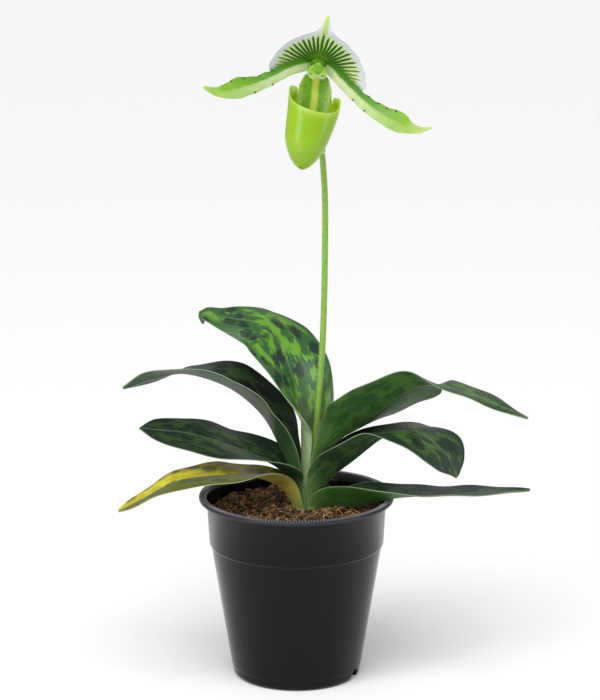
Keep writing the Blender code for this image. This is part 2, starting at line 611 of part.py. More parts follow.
def cup_solid(name, grid, toe, thickness, mat):
    """A closed thin-walled cup: rings from its edge down to a toe point."""
    rows, around = grid.shape[:2]
    wrapped = np.concatenate([grid[:, -1:], grid, grid[:, :1]], axis=1)
    inward = -grid_normals(wrapped)[:, 1:-1]
    middle = grid.mean(axis=(0, 1))
    if np.sum(inward * (middle - grid)) < 0:
        inward = -inward
    inner = grid + thickness * inward
    up = unit(grid[0].mean(axis=0) - toe)
    points = list(grid.reshape(-1, 3)) + [toe] + list(inner.reshape(-1, 3)) + [toe + thickness * up]
    behind = rows * around + 1
    faces = []
    for row in range(rows - 1):
        for k in range(around):
            a, b = row * around + k, row * around + (k + 1) % around
            for half in ((a, a + around, b), (b, a + around, b + around)):
                faces.append(half)
                faces.append(tuple(behind + m for m in reversed(half)))
    for k in range(around):
        a, b = (rows - 1) * around + k, (rows - 1) * around + (k + 1) % around
        faces.append((a, behind - 1, b))
        faces.append((behind + b, behind + behind - 1, behind + a))
        c, d = k, (k + 1) % around
        faces.append((c, d, behind + d))
        faces.append((c, behind + d, behind + c))
    return add_solid(name, points, faces, mat)


def ellipsoid(name, middle, radii, sides, rows):
    profile = [(0, -1)] + [(math.sin(math.pi * k / rows), -math.cos(math.pi * k / rows))
                           for k in range(1, rows)] + [(0, 1)]
    ball = turned(name, profile, sides)
    for vertex in ball.data.vertices:
        spot = np.array(vertex.co) / MM * np.array(radii) + np.array(middle)
        vertex.co = in_flower(spot) * MM
    return ball


def column():
    """The column stands forward from the flower's centre and ends in its shield."""
    core = tube("column", in_flower(np.array([(0, 2.0, -0.4), (0, -2, -0.9), (0, -6, -2.0)])),
                [3.1, 3.0, 2.6], 10, 3)
    shield = ellipsoid("shield", (0, -7.0, -2.6), (5.6, 1.5, 4.3), 14, 6)
    boss = ellipsoid("boss", (0, -8.2, -1.6), (2.1, 1.5, 2.1), 8, 4)
    combine(core, [shield, boss], "UNION")
    core.data.materials.append(material("column_green", (0.45, 0.60, 0.22), 0.4))


def main():
    clear_scene()
    pot()
    potting_mix()
    crown_and_roots()
    leaves()
    stem()
    dorsal_sepal()
    petals_and_synsepal()
    pouch()
    column()


main()
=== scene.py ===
"""Looks of a potted slipper orchid, dressed over its CAD frame. Sizes are in millimetres."""

import math
import random

import bpy
import numpy as np
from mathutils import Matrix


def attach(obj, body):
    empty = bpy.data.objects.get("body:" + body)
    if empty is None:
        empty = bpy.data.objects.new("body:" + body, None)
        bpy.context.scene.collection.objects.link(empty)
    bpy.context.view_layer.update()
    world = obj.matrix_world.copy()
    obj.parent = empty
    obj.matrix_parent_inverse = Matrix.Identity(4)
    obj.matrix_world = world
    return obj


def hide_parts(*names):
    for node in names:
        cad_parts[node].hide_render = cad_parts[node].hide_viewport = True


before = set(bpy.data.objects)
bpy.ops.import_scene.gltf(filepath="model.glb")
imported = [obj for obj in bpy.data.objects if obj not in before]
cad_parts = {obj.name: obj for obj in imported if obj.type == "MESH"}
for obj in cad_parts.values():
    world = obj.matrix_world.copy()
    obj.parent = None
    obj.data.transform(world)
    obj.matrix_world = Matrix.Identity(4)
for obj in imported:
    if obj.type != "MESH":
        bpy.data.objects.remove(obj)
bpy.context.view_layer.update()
MM = 0.001


# Pot
# A thin vacuum-formed nursery pot of black polypropylene: a flat rim flange with fine moulded
# ribs, a plain band, a belt step, a tapered wall and pointed drain slots at the foot.
RIM_RADIUS, RIM_TOP, FLANGE_DEPTH = 52.5, 99.6, 2.2
BAND_RADIUS, BELT_HEIGHT, BELT_RADIUS = 48.3, 73.5, 45.9
FOOT_HEIGHT, FOOT_RADIUS, FOOT_ROUNDING, WALL, FLOOR = 6.0, 34.5, 2.7, 1.0, 1.4
DRAINS, DRAIN_FIRST, DRAIN_STEP, DRAIN_WIDTH, DRAIN_HEIGHT = 7, -24.0, 32.0, 10.0, 5.9
RIM_RIBS = 200


def colour(red, green, blue):
    """An sRGB colour, 0 to 255, as the linear values that shaders take."""
    return tuple(((c / 255 + 0.055) / 1.055) ** 2.4 if c > 10 else c / 3294.6 for c in (red, green, blue))


def add(tree, kind, inputs=None, **settings):
    """One node: inputs are values or the sockets that feed them."""
    node = tree.nodes.new(kind)
    for key, value in settings.items():
        setattr(node, key, value)
    for key, value in (inputs or {}).items():
        if isinstance(value, bpy.types.NodeSocket):
            tree.links.new(value, node.inputs[key])
        else:
            node.inputs[key].default_value = value
    return node


def new_material(name, roughness, base=None, **uniform):
    """A material, its tree and its Principled shader."""
    mat = bpy.data.materials.new(name)
    mat.use_nodes = True
    shader = mat.node_tree.nodes["Principled BSDF"]
    shader.inputs["Roughness"].default_value = roughness
    if base:
        shader.inputs["Base Color"].default_value = (*base, 1)
    for key, value in uniform.items():
        shader.inputs[key.replace("_", " ")].default_value = value
    return mat, mat.node_tree, shader


def paint(tree, shader, tone):
    tree.links.new(tone, shader.inputs["Base Color"])


def bump(tree, shader, height, distance, strength=1.0):
    node = add(tree, "ShaderNodeBump", {"Height": height, "Distance": distance, "Strength": strength})
    tree.links.new(node.outputs["Normal"], shader.inputs["Normal"])


def tinted(tree, amount, below, above):
    """One colour over another."""
    mix = add(tree, "ShaderNodeMix", {"Factor": amount}, data_type="RGBA")
    for key, value in (("A", below), ("B", above)):
        if isinstance(value, tuple):
            mix.inputs[key].default_value = (*value, 1)
        else:
            tree.links.new(value, mix.inputs[key])
    return mix.outputs["Result"]


def ramp(tree, value, start, end, low=0.0, high=1.0, smoothly=False):
    """A value brought from one range to another and held at its ends."""
    kind = "SMOOTHSTEP" if smoothly else "LINEAR"
    return add(tree, "ShaderNodeMapRange", {"Value": value, "From Min": float(start), "From Max": float(end),
                                            "To Min": float(low), "To Max": float(high)},
               interpolation_type=kind).outputs["Result"]


def sum_of(tree, kind, *values):
    return add(tree, "ShaderNodeMath", dict(enumerate(values)), operation=kind).outputs[0]


def vector_of(tree, kind, *values):
    return add(tree, "ShaderNodeVectorMath", dict(enumerate(values)), operation=kind).outputs[0]


def object_place(tree):
    return add(tree, "ShaderNodeTexCoord").outputs["Object"]


def place_parts(tree):
    """X, Y and Z of the place that each point of a piece carries."""
    place = add(tree, "ShaderNodeAttribute", attribute_name="place").outputs["Vector"]
    return add(tree, "ShaderNodeSeparateXYZ", {"Vector": place}).outputs


def noise(tree, where, scale, detail):
    return add(tree, "ShaderNodeTexNoise", {"Vector": where, "Scale": scale, "Detail": detail}).outputs["Fac"]


def two_tones(tree, value, start, low, end, high):
    """A colour ramp from one colour to another."""
    tones = add(tree, "ShaderNodeValToRGB", {"Fac": value})
    for element, position, tone in zip(tones.color_ramp.elements, (start, end), (low, high)):
        element.position, element.color = position, (*tone, 1)
    return tones.outputs["Color"]


def link(obj):
    bpy.context.scene.collection.objects.link(obj)
    return obj


def piece(name, points, faces, mat, slot, replaced=(), places=None, smooth=True):
    """One finished piece from points in millimetres; places are a vector for each point, for its material."""
    mesh = bpy.data.meshes.new(name)
    mesh.from_pydata([tuple(float(c) * MM for c in p) for p in points], [], [tuple(f) for f in faces])
    if places is not None:
        layer = mesh.attributes.new("place", "FLOAT_VECTOR", "POINT")
        layer.data.foreach_set("vector", np.asarray(places, float).ravel())
    if smooth:
        mesh.shade_smooth()
        mesh.set_sharp_from_angle(angle=math.radians(48))
    obj = link(bpy.data.objects.new(name, mesh))
    mesh.materials.append(mat)
    if slot:
        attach(obj, "root")
    if replaced:
        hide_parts(*replaced)
    return obj


def on_ring(reach, turn, level, centre=(0.0, 0.0)):
    return centre[0] + reach * math.cos(turn), centre[1] + reach * math.sin(turn), level


def turned(profile, sides):
    """Points and faces of a solid of revolution; the profile runs from axis to axis."""
    points, rings = [], []
    for radius, height in profile:
        count = 1 if radius == 0 else sides
        rings.append([len(points) + k for k in range(count)])
        for k in range(count):
            points.append(on_ring(radius, 2 * math.pi * k / sides, height))
    faces = []
    for low, high in zip(rings, rings[1:]):
        for k in range(sides):
            m = (k + 1) % sides
            if len(low) == 1:
                faces.append((low[0], high[m], high[k]))
            elif len(high) == 1:
                faces.append((low[k], low[m], high[0]))
            else:
                faces.append((low[k], low[m], high[m], high[k]))
    return points, faces


def band(first, second, count):
    """Faces between two rings that start at these points."""
    return [(first + k, first + (k + 1) % count, second + (k + 1) % count, second + k) for k in range(count)]


def inside_radius(height):
    heights = [FLOOR, FOOT_HEIGHT + 1, BELT_HEIGHT - 1.5, BELT_HEIGHT, RIM_TOP - FLANGE_DEPTH]
    radii = [FOOT_RADIUS - 2.4, FOOT_RADIUS + 0.8, BELT_RADIUS, BELT_RADIUS + 1.0, BAND_RADIUS]
    return float(np.interp(height, heights, radii)) - WALL


flange = RIM_TOP - FLANGE_DEPTH
turns = np.radians(np.linspace(0, 90, 6))
pot_profile = [(0, 0)]
pot_profile += [(FOOT_RADIUS - FOOT_ROUNDING * (1 - math.sin(t)), FOOT_ROUNDING * (1 - math.cos(t)))
                for t in turns]
pot_profile += [
    (FOOT_RADIUS + 0.1, FOOT_HEIGHT - 0.6), (FOOT_RADIUS + 0.3, FOOT_HEIGHT - 0.15),
    (FOOT_RADIUS + 0.75, FOOT_HEIGHT + 0.1), (BELT_RADIUS, BELT_HEIGHT - 1.5),
    (BELT_RADIUS + 0.25, BELT_HEIGHT - 0.9), (BELT_RADIUS + 0.8, BELT_HEIGHT - 0.3),
    (BELT_RADIUS + 1.05, BELT_HEIGHT + 0.3), (BAND_RADIUS, flange - 0.4), (BAND_RADIUS + 0.4, flange),
    (RIM_RADIUS - 0.7, flange), (RIM_RADIUS - 0.2, flange + 0.2), (RIM_RADIUS, flange + 0.7),
    (RIM_RADIUS, RIM_TOP - 0.8), (RIM_RADIUS - 0.2, RIM_TOP - 0.3), (RIM_RADIUS - 0.7, RIM_TOP),
    (BAND_RADIUS + 0.9, RIM_TOP), (BAND_RADIUS + 0.3, RIM_TOP - 0.3), (BAND_RADIUS - 0.4, RIM_TOP - 1.6)]
pot_profile += [(inside_radius(h), h) for h in (95, 85, BELT_HEIGHT + 0.4, BELT_HEIGHT - 1.9, 40,
                                                FOOT_HEIGHT + 1, FLOOR)]
pot_profile += [(0, FLOOR)]

plastic, tree, shader = new_material("black plastic", 0.2, Specular_IOR_Level=0.17)
coords = object_place(tree)
grain = noise(tree, coords, 900.0, 3.0)
waves = noise(tree, coords, 35.0, 1.0)
tree.links.new(ramp(tree, waves, 0, 1, 0.13, 0.22), shader.inputs["Roughness"])
level = add(tree, "ShaderNodeSeparateXYZ", {"Vector": coords}).outputs["Z"]
# Painted highlight: from the flange up, the rim is painted lighter grey than the black wall, standing in for
# light caught on the rim.
rim_painted_highlight = ramp(tree, level, 0.0968, 0.0982)
paint(tree, shader, tinted(tree, rim_painted_highlight, colour(9, 9, 11), colour(44, 45, 50)))
bump(tree, shader, sum_of(tree, "ADD", sum_of(tree, "MULTIPLY", waves, 6.0), grain), 0.00004, 0.5)

points, faces = turned(pot_profile, 144)
pot = piece("pot_shell", points, faces, plastic, "pot_plastic", ["pot"])
half = DRAIN_WIDTH / 2
arch = [(-half, -1.0), (half, -1.0), (half * 0.9, DRAIN_HEIGHT * 0.35), (half * 0.55, DRAIN_HEIGHT * 0.72),
        (0, DRAIN_HEIGHT), (-half * 0.55, DRAIN_HEIGHT * 0.72), (-half * 0.9, DRAIN_HEIGHT * 0.35)]
cutter_points, cutter_faces = [], []
for number in range(DRAINS):
    turn = math.radians(DRAIN_FIRST + DRAIN_STEP * number)
    first, count = len(cutter_points), len(arch)
    for reach in (FOOT_RADIUS - 4.5, FOOT_RADIUS + 4):
        for x, z in arch:
            cutter_points.append((math.cos(turn) * reach - math.sin(turn) * x,
                                  math.sin(turn) * reach + math.cos(turn) * x, z))
    cutter_faces += [tuple(first + k for k in reversed(range(count))),
                     tuple(first + count + k for k in range(count))]
    cutter_faces += band(first, first + count, count)
cutters = piece("drain_cutters", cutter_points, cutter_faces, plastic, None)
cut = pot.modifiers.new("drains", "BOOLEAN")
cut.operation, cut.object, cut.solver = "DIFFERENCE", cutters, "EXACT"
cut_mesh = bpy.data.meshes.new_from_object(pot.evaluated_get(bpy.context.evaluated_depsgraph_get()))
pot.modifiers.clear()
pot.data = cut_mesh
bpy.data.objects.remove(cutters, do_unlink=True)


def node_group(name, sockets):
    """A Geometry Nodes tree with named inputs; returns the tree and its group input node."""
    tree = bpy.data.node_groups.new(name, "GeometryNodeTree")
    tree.interface.new_socket("Geometry", in_out="INPUT", socket_type="NodeSocketGeometry")
    for label, kind in sockets:
        tree.interface.new_socket(label, in_out="INPUT", socket_type="NodeSocket" + kind)
    tree.interface.new_socket("Geometry", in_out="OUTPUT", socket_type="NodeSocketGeometry")
    return tree, tree.nodes.new("NodeGroupInput").outputs


def finish_group(tree, instances, mat):
    """End a tree with Realize Instances and Set Material."""
    solid = add(tree, "GeometryNodeRealizeInstances", {"Geometry": instances}).outputs[0]
    painted = add(tree, "GeometryNodeSetMaterial", {"Geometry": solid, "Material": mat}).outputs[0]
    add(tree, "NodeGroupOutput", {"Geometry": painted})


def run_group(tree, carrier, name, slot, **values):
    """Grow a new plain mesh piece on a carrier object, which stays as it was."""
    grow = carrier.modifiers.new(name, "NODES")
    grow.node_group = tree
    for item in tree.interface.items_tree:
        key = item.name.lower().replace(" ", "_")
        if item.item_type == "SOCKET" and item.in_out == "INPUT" and key in values:
            grow[item.identifier] = values[key]
    carrier.update_tag()
    graph = bpy.context.evaluated_depsgraph_get()
    mesh = bpy.data.meshes.new_from_object(carrier.evaluated_get(graph), depsgraph=graph)
    carrier.modifiers.remove(grow)
    obj = link(bpy.data.objects.new(name, mesh))
    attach(obj, "root")
    return obj


set_out, inputs = node_group("set out on points", [("Piece", "Object"), ("Piece Material", "Material")])
shape = add(set_out, "GeometryNodeObjectInfo", {"Object": inputs["Piece"]}).outputs["Geometry"]
turn_of = add(set_out, "GeometryNodeInputNamedAttribute", {"Name": "turn"}, data_type="FLOAT_VECTOR")
size_of = add(set_out, "GeometryNodeInputNamedAttribute", {"Name": "size"}, data_type="FLOAT_VECTOR")
turned_by = add(set_out, "FunctionNodeEulerToRotation", {"Euler": turn_of.outputs[0]}).outputs[0]
spots = add(set_out, "GeometryNodeMeshToPoints", {"Mesh": inputs["Geometry"]}).outputs[0]
placed = add(set_out, "GeometryNodeInstanceOnPoints", {
    "Points": spots, "Instance": shape, "Rotation": turned_by, "Scale": size_of.outputs[0]}).outputs[0]
finish_group(set_out, placed, inputs["Piece Material"])


def place_points(name, spots, turns, sizes):
    """Bare points that carry a turn and a size for the pieces set out on them."""
    mesh = bpy.data.meshes.new(name)
    mesh.from_pydata([tuple(float(c) * MM for c in p) for p in spots], [], [])
    for label, values in (("turn", turns), ("size", sizes)):
        layer = mesh.attributes.new(label, "FLOAT_VECTOR", "POINT")
        layer.data.foreach_set("vector", np.asarray(values, float).ravel())
    obj = link(bpy.data.objects.new(name, mesh))
    return obj


rib_long, rib_wide, rib_high = 2.9, 0.7, 0.4
corners = ((-1, -1), (1, -1), (1, 1), (-1, 1))
rib_points = [(x * rib_long / 2, y * rib_wide / 2, 0) for x, y in corners]
rib_points += [(x * rib_long * 0.46, y * rib_wide / 5, rib_high) for x, y in corners]
rib_faces = [(3, 2, 1, 0), (4, 5, 6, 7), (0, 1, 5, 4), (1, 2, 6, 5), (2, 3, 7, 6), (3, 0, 4, 7)]
# Painted highlight: the ribs are the pot's black plastic, painted light grey to stand in for the light they
# catch.
rib_highlight_mat = new_material("rib plastic painted highlight", 0.3, colour(104, 105, 112))[0]
rib = piece("rib_shape", rib_points, rib_faces, rib_highlight_mat, None, smooth=False)
angles = [2 * math.pi * k / RIM_RIBS for k in range(RIM_RIBS)]
rib_middle = (BAND_RADIUS + RIM_RADIUS) / 2 + 0.25
rib_spots = place_points("rib_spots", [on_ring(rib_middle, a, RIM_TOP - 0.05) for a in angles],
                         [(0, 0, a) for a in angles], [(1, 1, 1)] * RIM_RIBS)
run_group(set_out, rib_spots, "pot_rim_ribs", "pot_plastic", piece=rib, piece_material=rib_highlight_mat)
for spare in (rib, rib_spots):
    bpy.data.objects.remove(spare, do_unlink=True)


# Potting mix
# Orchid mix: dark crumbs and chips of pine bark bound by curly tan coconut fibre, a few
# millimetres below the rim. The mix is a rough bed; chips and fibres are scattered on it.
MIX_TOP, MIX_MOUND, MIX_REACH, CROWN = 90.2, 1.4, 46.2 * MM, (6.0, 6.0)

bark, tree, shader = new_material("bark", 0.85)
coords = object_place(tree)
patch = noise(tree, coords, 160.0, 6.0)
browns = two_tones(tree, patch, 0.35, colour(28, 17, 11), 0.68, colour(86, 58, 36))
paint(tree, shader, browns)
rough = noise(tree, coords, 700.0, 8.0)
bump(tree, shader, rough, 0.0008)


def mix_height(x, y):
    out = math.hypot(x, y) / inside_radius(MIX_TOP)
    ripples = math.sin(0.41 * x + 0.9) * math.sin(0.37 * y) + 0.6 * math.sin(0.83 * x - 0.61 * y)
    return MIX_TOP + MIX_MOUND * (1 - out ** 2) + 0.45 * ripples


rng = random.Random(7)
sides, rings = 96, 26
wall = inside_radius(MIX_TOP) - 0.3
bed_points, bed_faces = [], []
for ring in range(rings + 1):
    share = ring / rings
    for k in range(sides):
        turn = 2 * math.pi * k / sides
        outer = np.array((wall * math.cos(turn), wall * math.sin(turn)))
        well = np.array(CROWN) + 11.6 * np.array((math.cos(turn), math.sin(turn)))
        x, y = outer * (1 - share) + well * share
        rough_by = rng.uniform(-0.9, 0.9) * (0.3 if ring in (0, rings) else 1)
        bed_points.append((x, y, mix_height(x, y) + rough_by))
for depth, reach in ((86, 9.8), (80, 8.2)):
    for k in range(sides):
        bed_points.append(on_ring(reach, 2 * math.pi * k / sides, depth, CROWN))
for low in range(rings + 2):
    bed_faces += band(low * sides, (low + 1) * sides, sides)
skirt = len(bed_points)
for level in (BELT_HEIGHT + 0.4, BELT_HEIGHT - 1.9, FOOT_HEIGHT + 1, FLOOR + 0.3):
    reach = inside_radius(level) - 0.3
    for k in range(sides):
        bed_points.append(on_ring(reach, 2 * math.pi * k / sides, level))
for k in range(sides):
    m = (k + 1) % sides
    bed_faces.append((skirt + k, skirt + m, m, k))
    for level in range(3):
        low = skirt + (level + 1) * sides
        bed_faces.append((low + k, low + m, low - sides + m, low - sides + k))
bed_faces.append([skirt + 3 * sides + k for k in reversed(range(sides))])
piece("mix_bed", bed_points, bed_faces, bark, "bark_mix", ["potting_mix"], smooth=False)

top_faces = bed_faces[:rings * sides]
bed_top = piece("mix_top", bed_points[:(rings + 1) * sides], top_faces, bark, None)

scatter, inputs = node_group("scatter on a surface", [
    ("Piece", "Object"), ("Piece Material", "Material"), ("Density", "Float"), ("Seed", "Int"),
    ("Smallest", "Float"), ("Largest", "Float"), ("Lean", "Float"), ("Curl", "Float"),
    ("Curl Scale", "Float"), ("Reach", "Float")])
shape = add(scatter, "GeometryNodeObjectInfo", {"Object": inputs["Piece"]}).outputs["Geometry"]
spread = add(scatter, "GeometryNodeDistributePointsOnFaces", {
    "Mesh": inputs["Geometry"], "Density": inputs["Density"], "Seed": inputs["Seed"]})
back = sum_of(scatter, "MULTIPLY", inputs["Lean"], -1.0)
lean = inputs["Lean"]
least = add(scatter, "ShaderNodeCombineXYZ", {"X": back, "Y": back, "Z": -3.1416}).outputs[0]
most = add(scatter, "ShaderNodeCombineXYZ", {"X": lean, "Y": lean, "Z": 3.1416}).outputs[0]
swing = add(scatter, "FunctionNodeRandomValue", {"Seed": inputs["Seed"]}, data_type="FLOAT_VECTOR")
scatter.links.new(least, swing.inputs[0])
scatter.links.new(most, swing.inputs[1])
swung = add(scatter, "FunctionNodeEulerToRotation", {"Euler": swing.outputs[0]}).outputs[0]
both = add(scatter, "FunctionNodeRotateRotation", {
    "Rotation": spread.outputs["Rotation"], "Rotate By": swung}, rotation_space="LOCAL").outputs[0]
scale = add(scatter, "FunctionNodeRandomValue", {"Seed": inputs["Seed"]}, data_type="FLOAT")
scatter.links.new(inputs["Smallest"], scale.inputs[2])
scatter.links.new(inputs["Largest"], scale.inputs[3])
grown = add(scatter, "GeometryNodeInstanceOnPoints", {
    "Points": spread.outputs["Points"], "Instance": shape, "Rotation": both, "Scale": scale.outputs[1]
}).outputs[0]
loose = add(scatter, "GeometryNodeRealizeInstances", {"Geometry": grown}).outputs[0]
swirl = add(scatter, "ShaderNodeTexNoise", {"Scale": inputs["Curl Scale"], "Detail": 1.0}).outputs["Color"]
centred = vector_of(scatter, "SUBTRACT", swirl, (0.5, 0.5, 0.5))
shift = add(scatter, "ShaderNodeVectorMath", {0: centred, "Scale": inputs["Curl"]}, operation="SCALE")
curled = add(scatter, "GeometryNodeSetPosition", {"Geometry": loose, "Offset": shift.outputs[0]}).outputs[0]
here = add(scatter, "GeometryNodeInputPosition").outputs[0]
level = vector_of(scatter, "MULTIPLY", here, (1, 1, 0))
out_by = add(scatter, "ShaderNodeVectorMath", {0: level}, operation="LENGTH").outputs["Value"]
squeeze = sum_of(scatter, "MINIMUM", sum_of(scatter, "DIVIDE", inputs["Reach"], out_by), 1.0)
across = add(scatter, "ShaderNodeCombineXYZ", {"X": squeeze, "Y": squeeze, "Z": 1.0}).outputs[0]
inside = vector_of(scatter, "MULTIPLY", here, across)
kept_in = add(scatter, "GeometryNodeSetPosition", {"Geometry": curled, "Position": inside}).outputs[0]
finish_group(scatter, kept_in, inputs["Piece Material"])

chip_points = [(x * 2.6, y * 1.5, z * 0.55) for z in (-1, 1) for x, y in
               ((-1, -0.5), (-0.4, -1), (0.7, -0.8), (1, 0.3), (0.2, 1), (-0.8, 0.7))]
chip_points = [(x * (1 + 0.12 * (k % 3)), y, z * (1 - 0.2 * (k % 2)))
               for k, (x, y, z) in enumerate(chip_points)]
chip_faces = [(5, 4, 3, 2, 1, 0), (6, 7, 8, 9, 10, 11)] + band(0, 6, 6)
chip = piece("chip_shape", chip_points, chip_faces, bark, None, smooth=False)
run_group(scatter, bed_top, "bark_chips", "bark_mix", piece=chip, piece_material=bark,
          density=85000.0, seed=3, smallest=0.35, largest=1.25, lean=0.7, curl=0.0006, curl_scale=900.0,
          reach=MIX_REACH)

fibre_mat, tree, shader = new_material("coconut fibre", 0.7)
patch = noise(tree, object_place(tree), 260.0, 2.0)
tans = two_tones(tree, patch, 0.38, colour(112, 72, 34), 0.66, colour(226, 184, 112))
paint(tree, shader, tans)
strand_points, strand_faces = [], []
for step in range(13):
    share = step / 12
    for k in range(3):
        turn = 2 * math.pi * k / 3
        thick = 0.17 * (1 - 0.5 * abs(2 * share - 1))
        strand_points.append((9 * (share - 0.5), thick * math.cos(turn) + 1.6 * math.sin(5 * share),
                              thick * math.sin(turn) + 1.9 * math.sin(math.pi * share) - 0.5))
for step in range(12):
    strand_faces += band(3 * step, 3 * step + 3, 3)
strand_faces += [(2, 1, 0), (36, 37, 38)]
strand = piece("strand_shape", strand_points, strand_faces, fibre_mat, None)
run_group(scatter, bed_top, "coconut_fibres", "bark_mix", piece=strand, piece_material=fibre_mat,
          density=120000.0, seed=11, smallest=0.45, largest=1.2, lean=0.45, curl=0.007, curl_scale=190.0,
          reach=MIX_REACH)
for spare in (chip, strand, bed_top):
    bpy.data.objects.remove(spare, do_unlink=True)


# Crown and roots
# The short crown that the leaves stand on and its thick felted roots, hidden in the mix.
felt, tree, shader = new_material("root felt", 0.9)
felts = tinted(tree, noise(tree, object_place(tree), 300.0, 5.0), colour(92, 66, 40), colour(140, 108, 70))
paint(tree, shader, felts)
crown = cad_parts["crown_and_roots"]
crown.data.materials.clear()
crown.data.materials.append(felt)


# Leaves
# Seven leathery keeled leaves in two ranks, each folded round the next at its base. Their
# upper faces are tessellated in two greens, the undersides are plainer, and a thin pale line along the margin
# is a painted highlight.
LEAF_THICKNESS, LEAF_ROWS, LEAF_ACROSS = 0.7, 84, 12
LEAVES = {
    "leaf_1": [
        ((-0.6, 6, 84), (1, 0, 0), 8.8, 0, 80), ((-1.9, 5.9, 92), (1, 0, 0.3), 8.8, 8, 72),
        ((-8, 2.2, 103), (4, 0.3, 9), 9.5, 35, 20), ((-21, -9, 112), (1, 1, 9), 13, 20, 0),
        ((-37, -19, 116), (0.5, -1, 10), 15, 9, -5), ((-62, -26, 115), (0, -1, 10), 13.5, 5, -7),
        ((-82, -26, 104.5), (-3, -1, 9), 9, 8, -5), ((-94, -26, 98), (-4, -2, 9), 0.8, 10, -4)],
    "leaf_2": [
        ((12.2, 5.8, 84), (-1, 0.05, 0), 10.2, 0, 90), ((14.6, 5.0, 89.5), (-1, 0.27, 0.5), 10.8, 10, 80),
        ((19.5, -2.2, 94.5), (-2, 4.3, 9), 11.3, 46, 12), ((34, -11, 97), (-2, 2, 9), 14, 50, 5),
        ((53, -17, 103), (0, 1, 10), 14.2, 22, -3), ((76, -22, 106), (0.5, 0.5, 10), 12.5, 11, -3),
        ((103, -25, 108.5), (0, 0, 10), 8, 8, -4), ((123, -27, 110), (0, -1, 10), 0.8, 6, -4)],
    "leaf_3": [
        ((0.6, 6, 84), (1, 0, 0), 6.9, 0, 80), ((0, 6.1, 94), (1, 0.02, 0.2), 7.2, 8, 75),
        ((-4.4, 4.7, 105), (8, 0.6, 5), 9.3, 30, 45), ((-11, -1.2, 116), (4, -1, 9), 15, 27, 10),
        ((-33, -8, 128), (0, -2, 10), 18.3, 9, -5), ((-55, -11, 136), (-1, -3, 9), 16.5, 2, -8),
        ((-74, -13, 139), (-1, -3, 9), 10, 3, -6), ((-83, -13.5, 140), (-2, -3, 9), 0.8, 5, -5)],
    "leaf_4": [
        ((10.8, 6, 84), (-1, 0, 0), 8.2, 0, 90), ((11.9, 5.95, 96), (-1, 0.12, 0.3), 8.1, 8, 80),
        ((18, 2, 108), (-7, 3, 7), 13.3, 42, 35), ((31, -5, 121), (-4, 1, 9), 17, 40, 8),
        ((47, -16, 136.5), (-1, 1, 10), 17, 20, -10), ((62, -27, 142), (2, -2, 10), 17.5, 3, -20),
        ((76, -33, 134), (6, -5, 6), 17, 6, -11), ((81, -34, 126), (7, -6, 5), 11.5, 12, -5),
        ((84, -34.5, 119), (8, -6, 4), 1.5, 20, 0)],
    "leaf_5": [
        ((1.8, 6, 84), (1, 0, 0), 5.1, 0, 80), ((1.4, 6, 98), (1, -0.02, 0.15), 5.4, 5, 78),
        ((-2.3, 6.2, 110), (9, -1.2, 4), 8.0, 25, 50), ((-8.6, 5.5, 125), (8, -1, 5), 12.8, 40, 18),
        ((-18.6, 11, 141.5), (2, 0, 9), 19.5, 34, 0), ((-36, 14, 155.5), (-1, 0, 10), 20, 30, 0),
        ((-59, 17, 162.5), (-2, 2, 9), 16, 17, -8), ((-76, 23, 158.5), (-1, 4, 9), 10.5, 14, -10),
        ((-94, 30, 151), (-3, 7, 6), 1.5, 18, -8)],
    "leaf_6": [
        ((9.6, 6, 84), (-1, 0, 0), 6.3, 10, 85), ((10.6, 7, 104), (-1, 0, 0.1), 6.4, 12, 80),
        ((14, 6.6, 118), (-8, 1, 4), 7.2, 30, 46), ((23.5, 2.6, 130), (-5, 6.4, 5), 14.5, 31, 18),
        ((34, -4.2, 138.8), (-4, 7.4, 4), 21, 26, 6), ((58, -20, 162), (-1, 7, 7), 18.6, 10, -7),
        ((73, -31, 168), (7, -1, 8), 12.3, 12, -10), ((94, -38, 164), (5, -2, 8), 10, 7, -14),
        ((119, -50, 155), (3, -4, 8), 0.8, 2, -15)],
    "leaf_7": [
        ((3, 6, 84), (1, 0, 0), 5.2, 30, 70), ((3, 6.9, 110), (1, -0.05, 0), 5.1, 30, 70),
        ((3, 9, 132), (9, -4, 0), 9.6, 30, 60), ((2, 9.5, 148), (5, -8, 2.5), 19.3, 30, 34),
        ((-8.8, 19.9, 178.3), (5, -6, 6), 22.2, 7, -6), ((-19.2, 25.4, 187.8), (6, -5, 6), 18.8, 0, -21),
        ((-40, 29.5, 190.8), (3, -5, 8), 9.0, 1, -13), ((-50.5, 34, 192), (-2, -5, 8), 4.4, 4, -8),
        ((-51.2, 35, 185.6), (-6, -8, 1), 0.8, 4, -5)],
}


def smooth(values, where):
    """Catmull-Rom values at the places `where`, counted in control points."""
    values = np.asarray(values, float)
    ends = np.concatenate([2 * values[:1] - values[1:2], values, 2 * values[-1:] - values[-2:-1]])
    where = np.clip(np.asarray(where, float), 0, len(values) - 1 - 1e-9)
    first = where.astype(int)
    part = where - first
    if values.ndim > 1:
        part = part[:, None]
    a, b, c, d = ends[first], ends[first + 1], ends[first + 2], ends[first + 3]
    return 0.5 * (2 * b + (c - a) * part + (2 * a - 5 * b + 4 * c - d) * part ** 2
                  + (3 * b - a - 3 * c + d) * part ** 3)


def even_places(points, count):
    fine = np.linspace(0, len(points) - 1, 401)
    steps = np.linalg.norm(np.diff(smooth(points, fine), axis=0), axis=1)
    length = np.concatenate([[0], np.cumsum(steps)])
    return np.interp(np.linspace(0, length[-1], count + 1), length, fine), length[-1]


def unit(vectors):
    return vectors / np.linalg.norm(vectors, axis=-1, keepdims=True)


def grid_normals(grid):
    return unit(np.cross(np.gradient(grid, axis=1), np.gradient(grid, axis=0)))


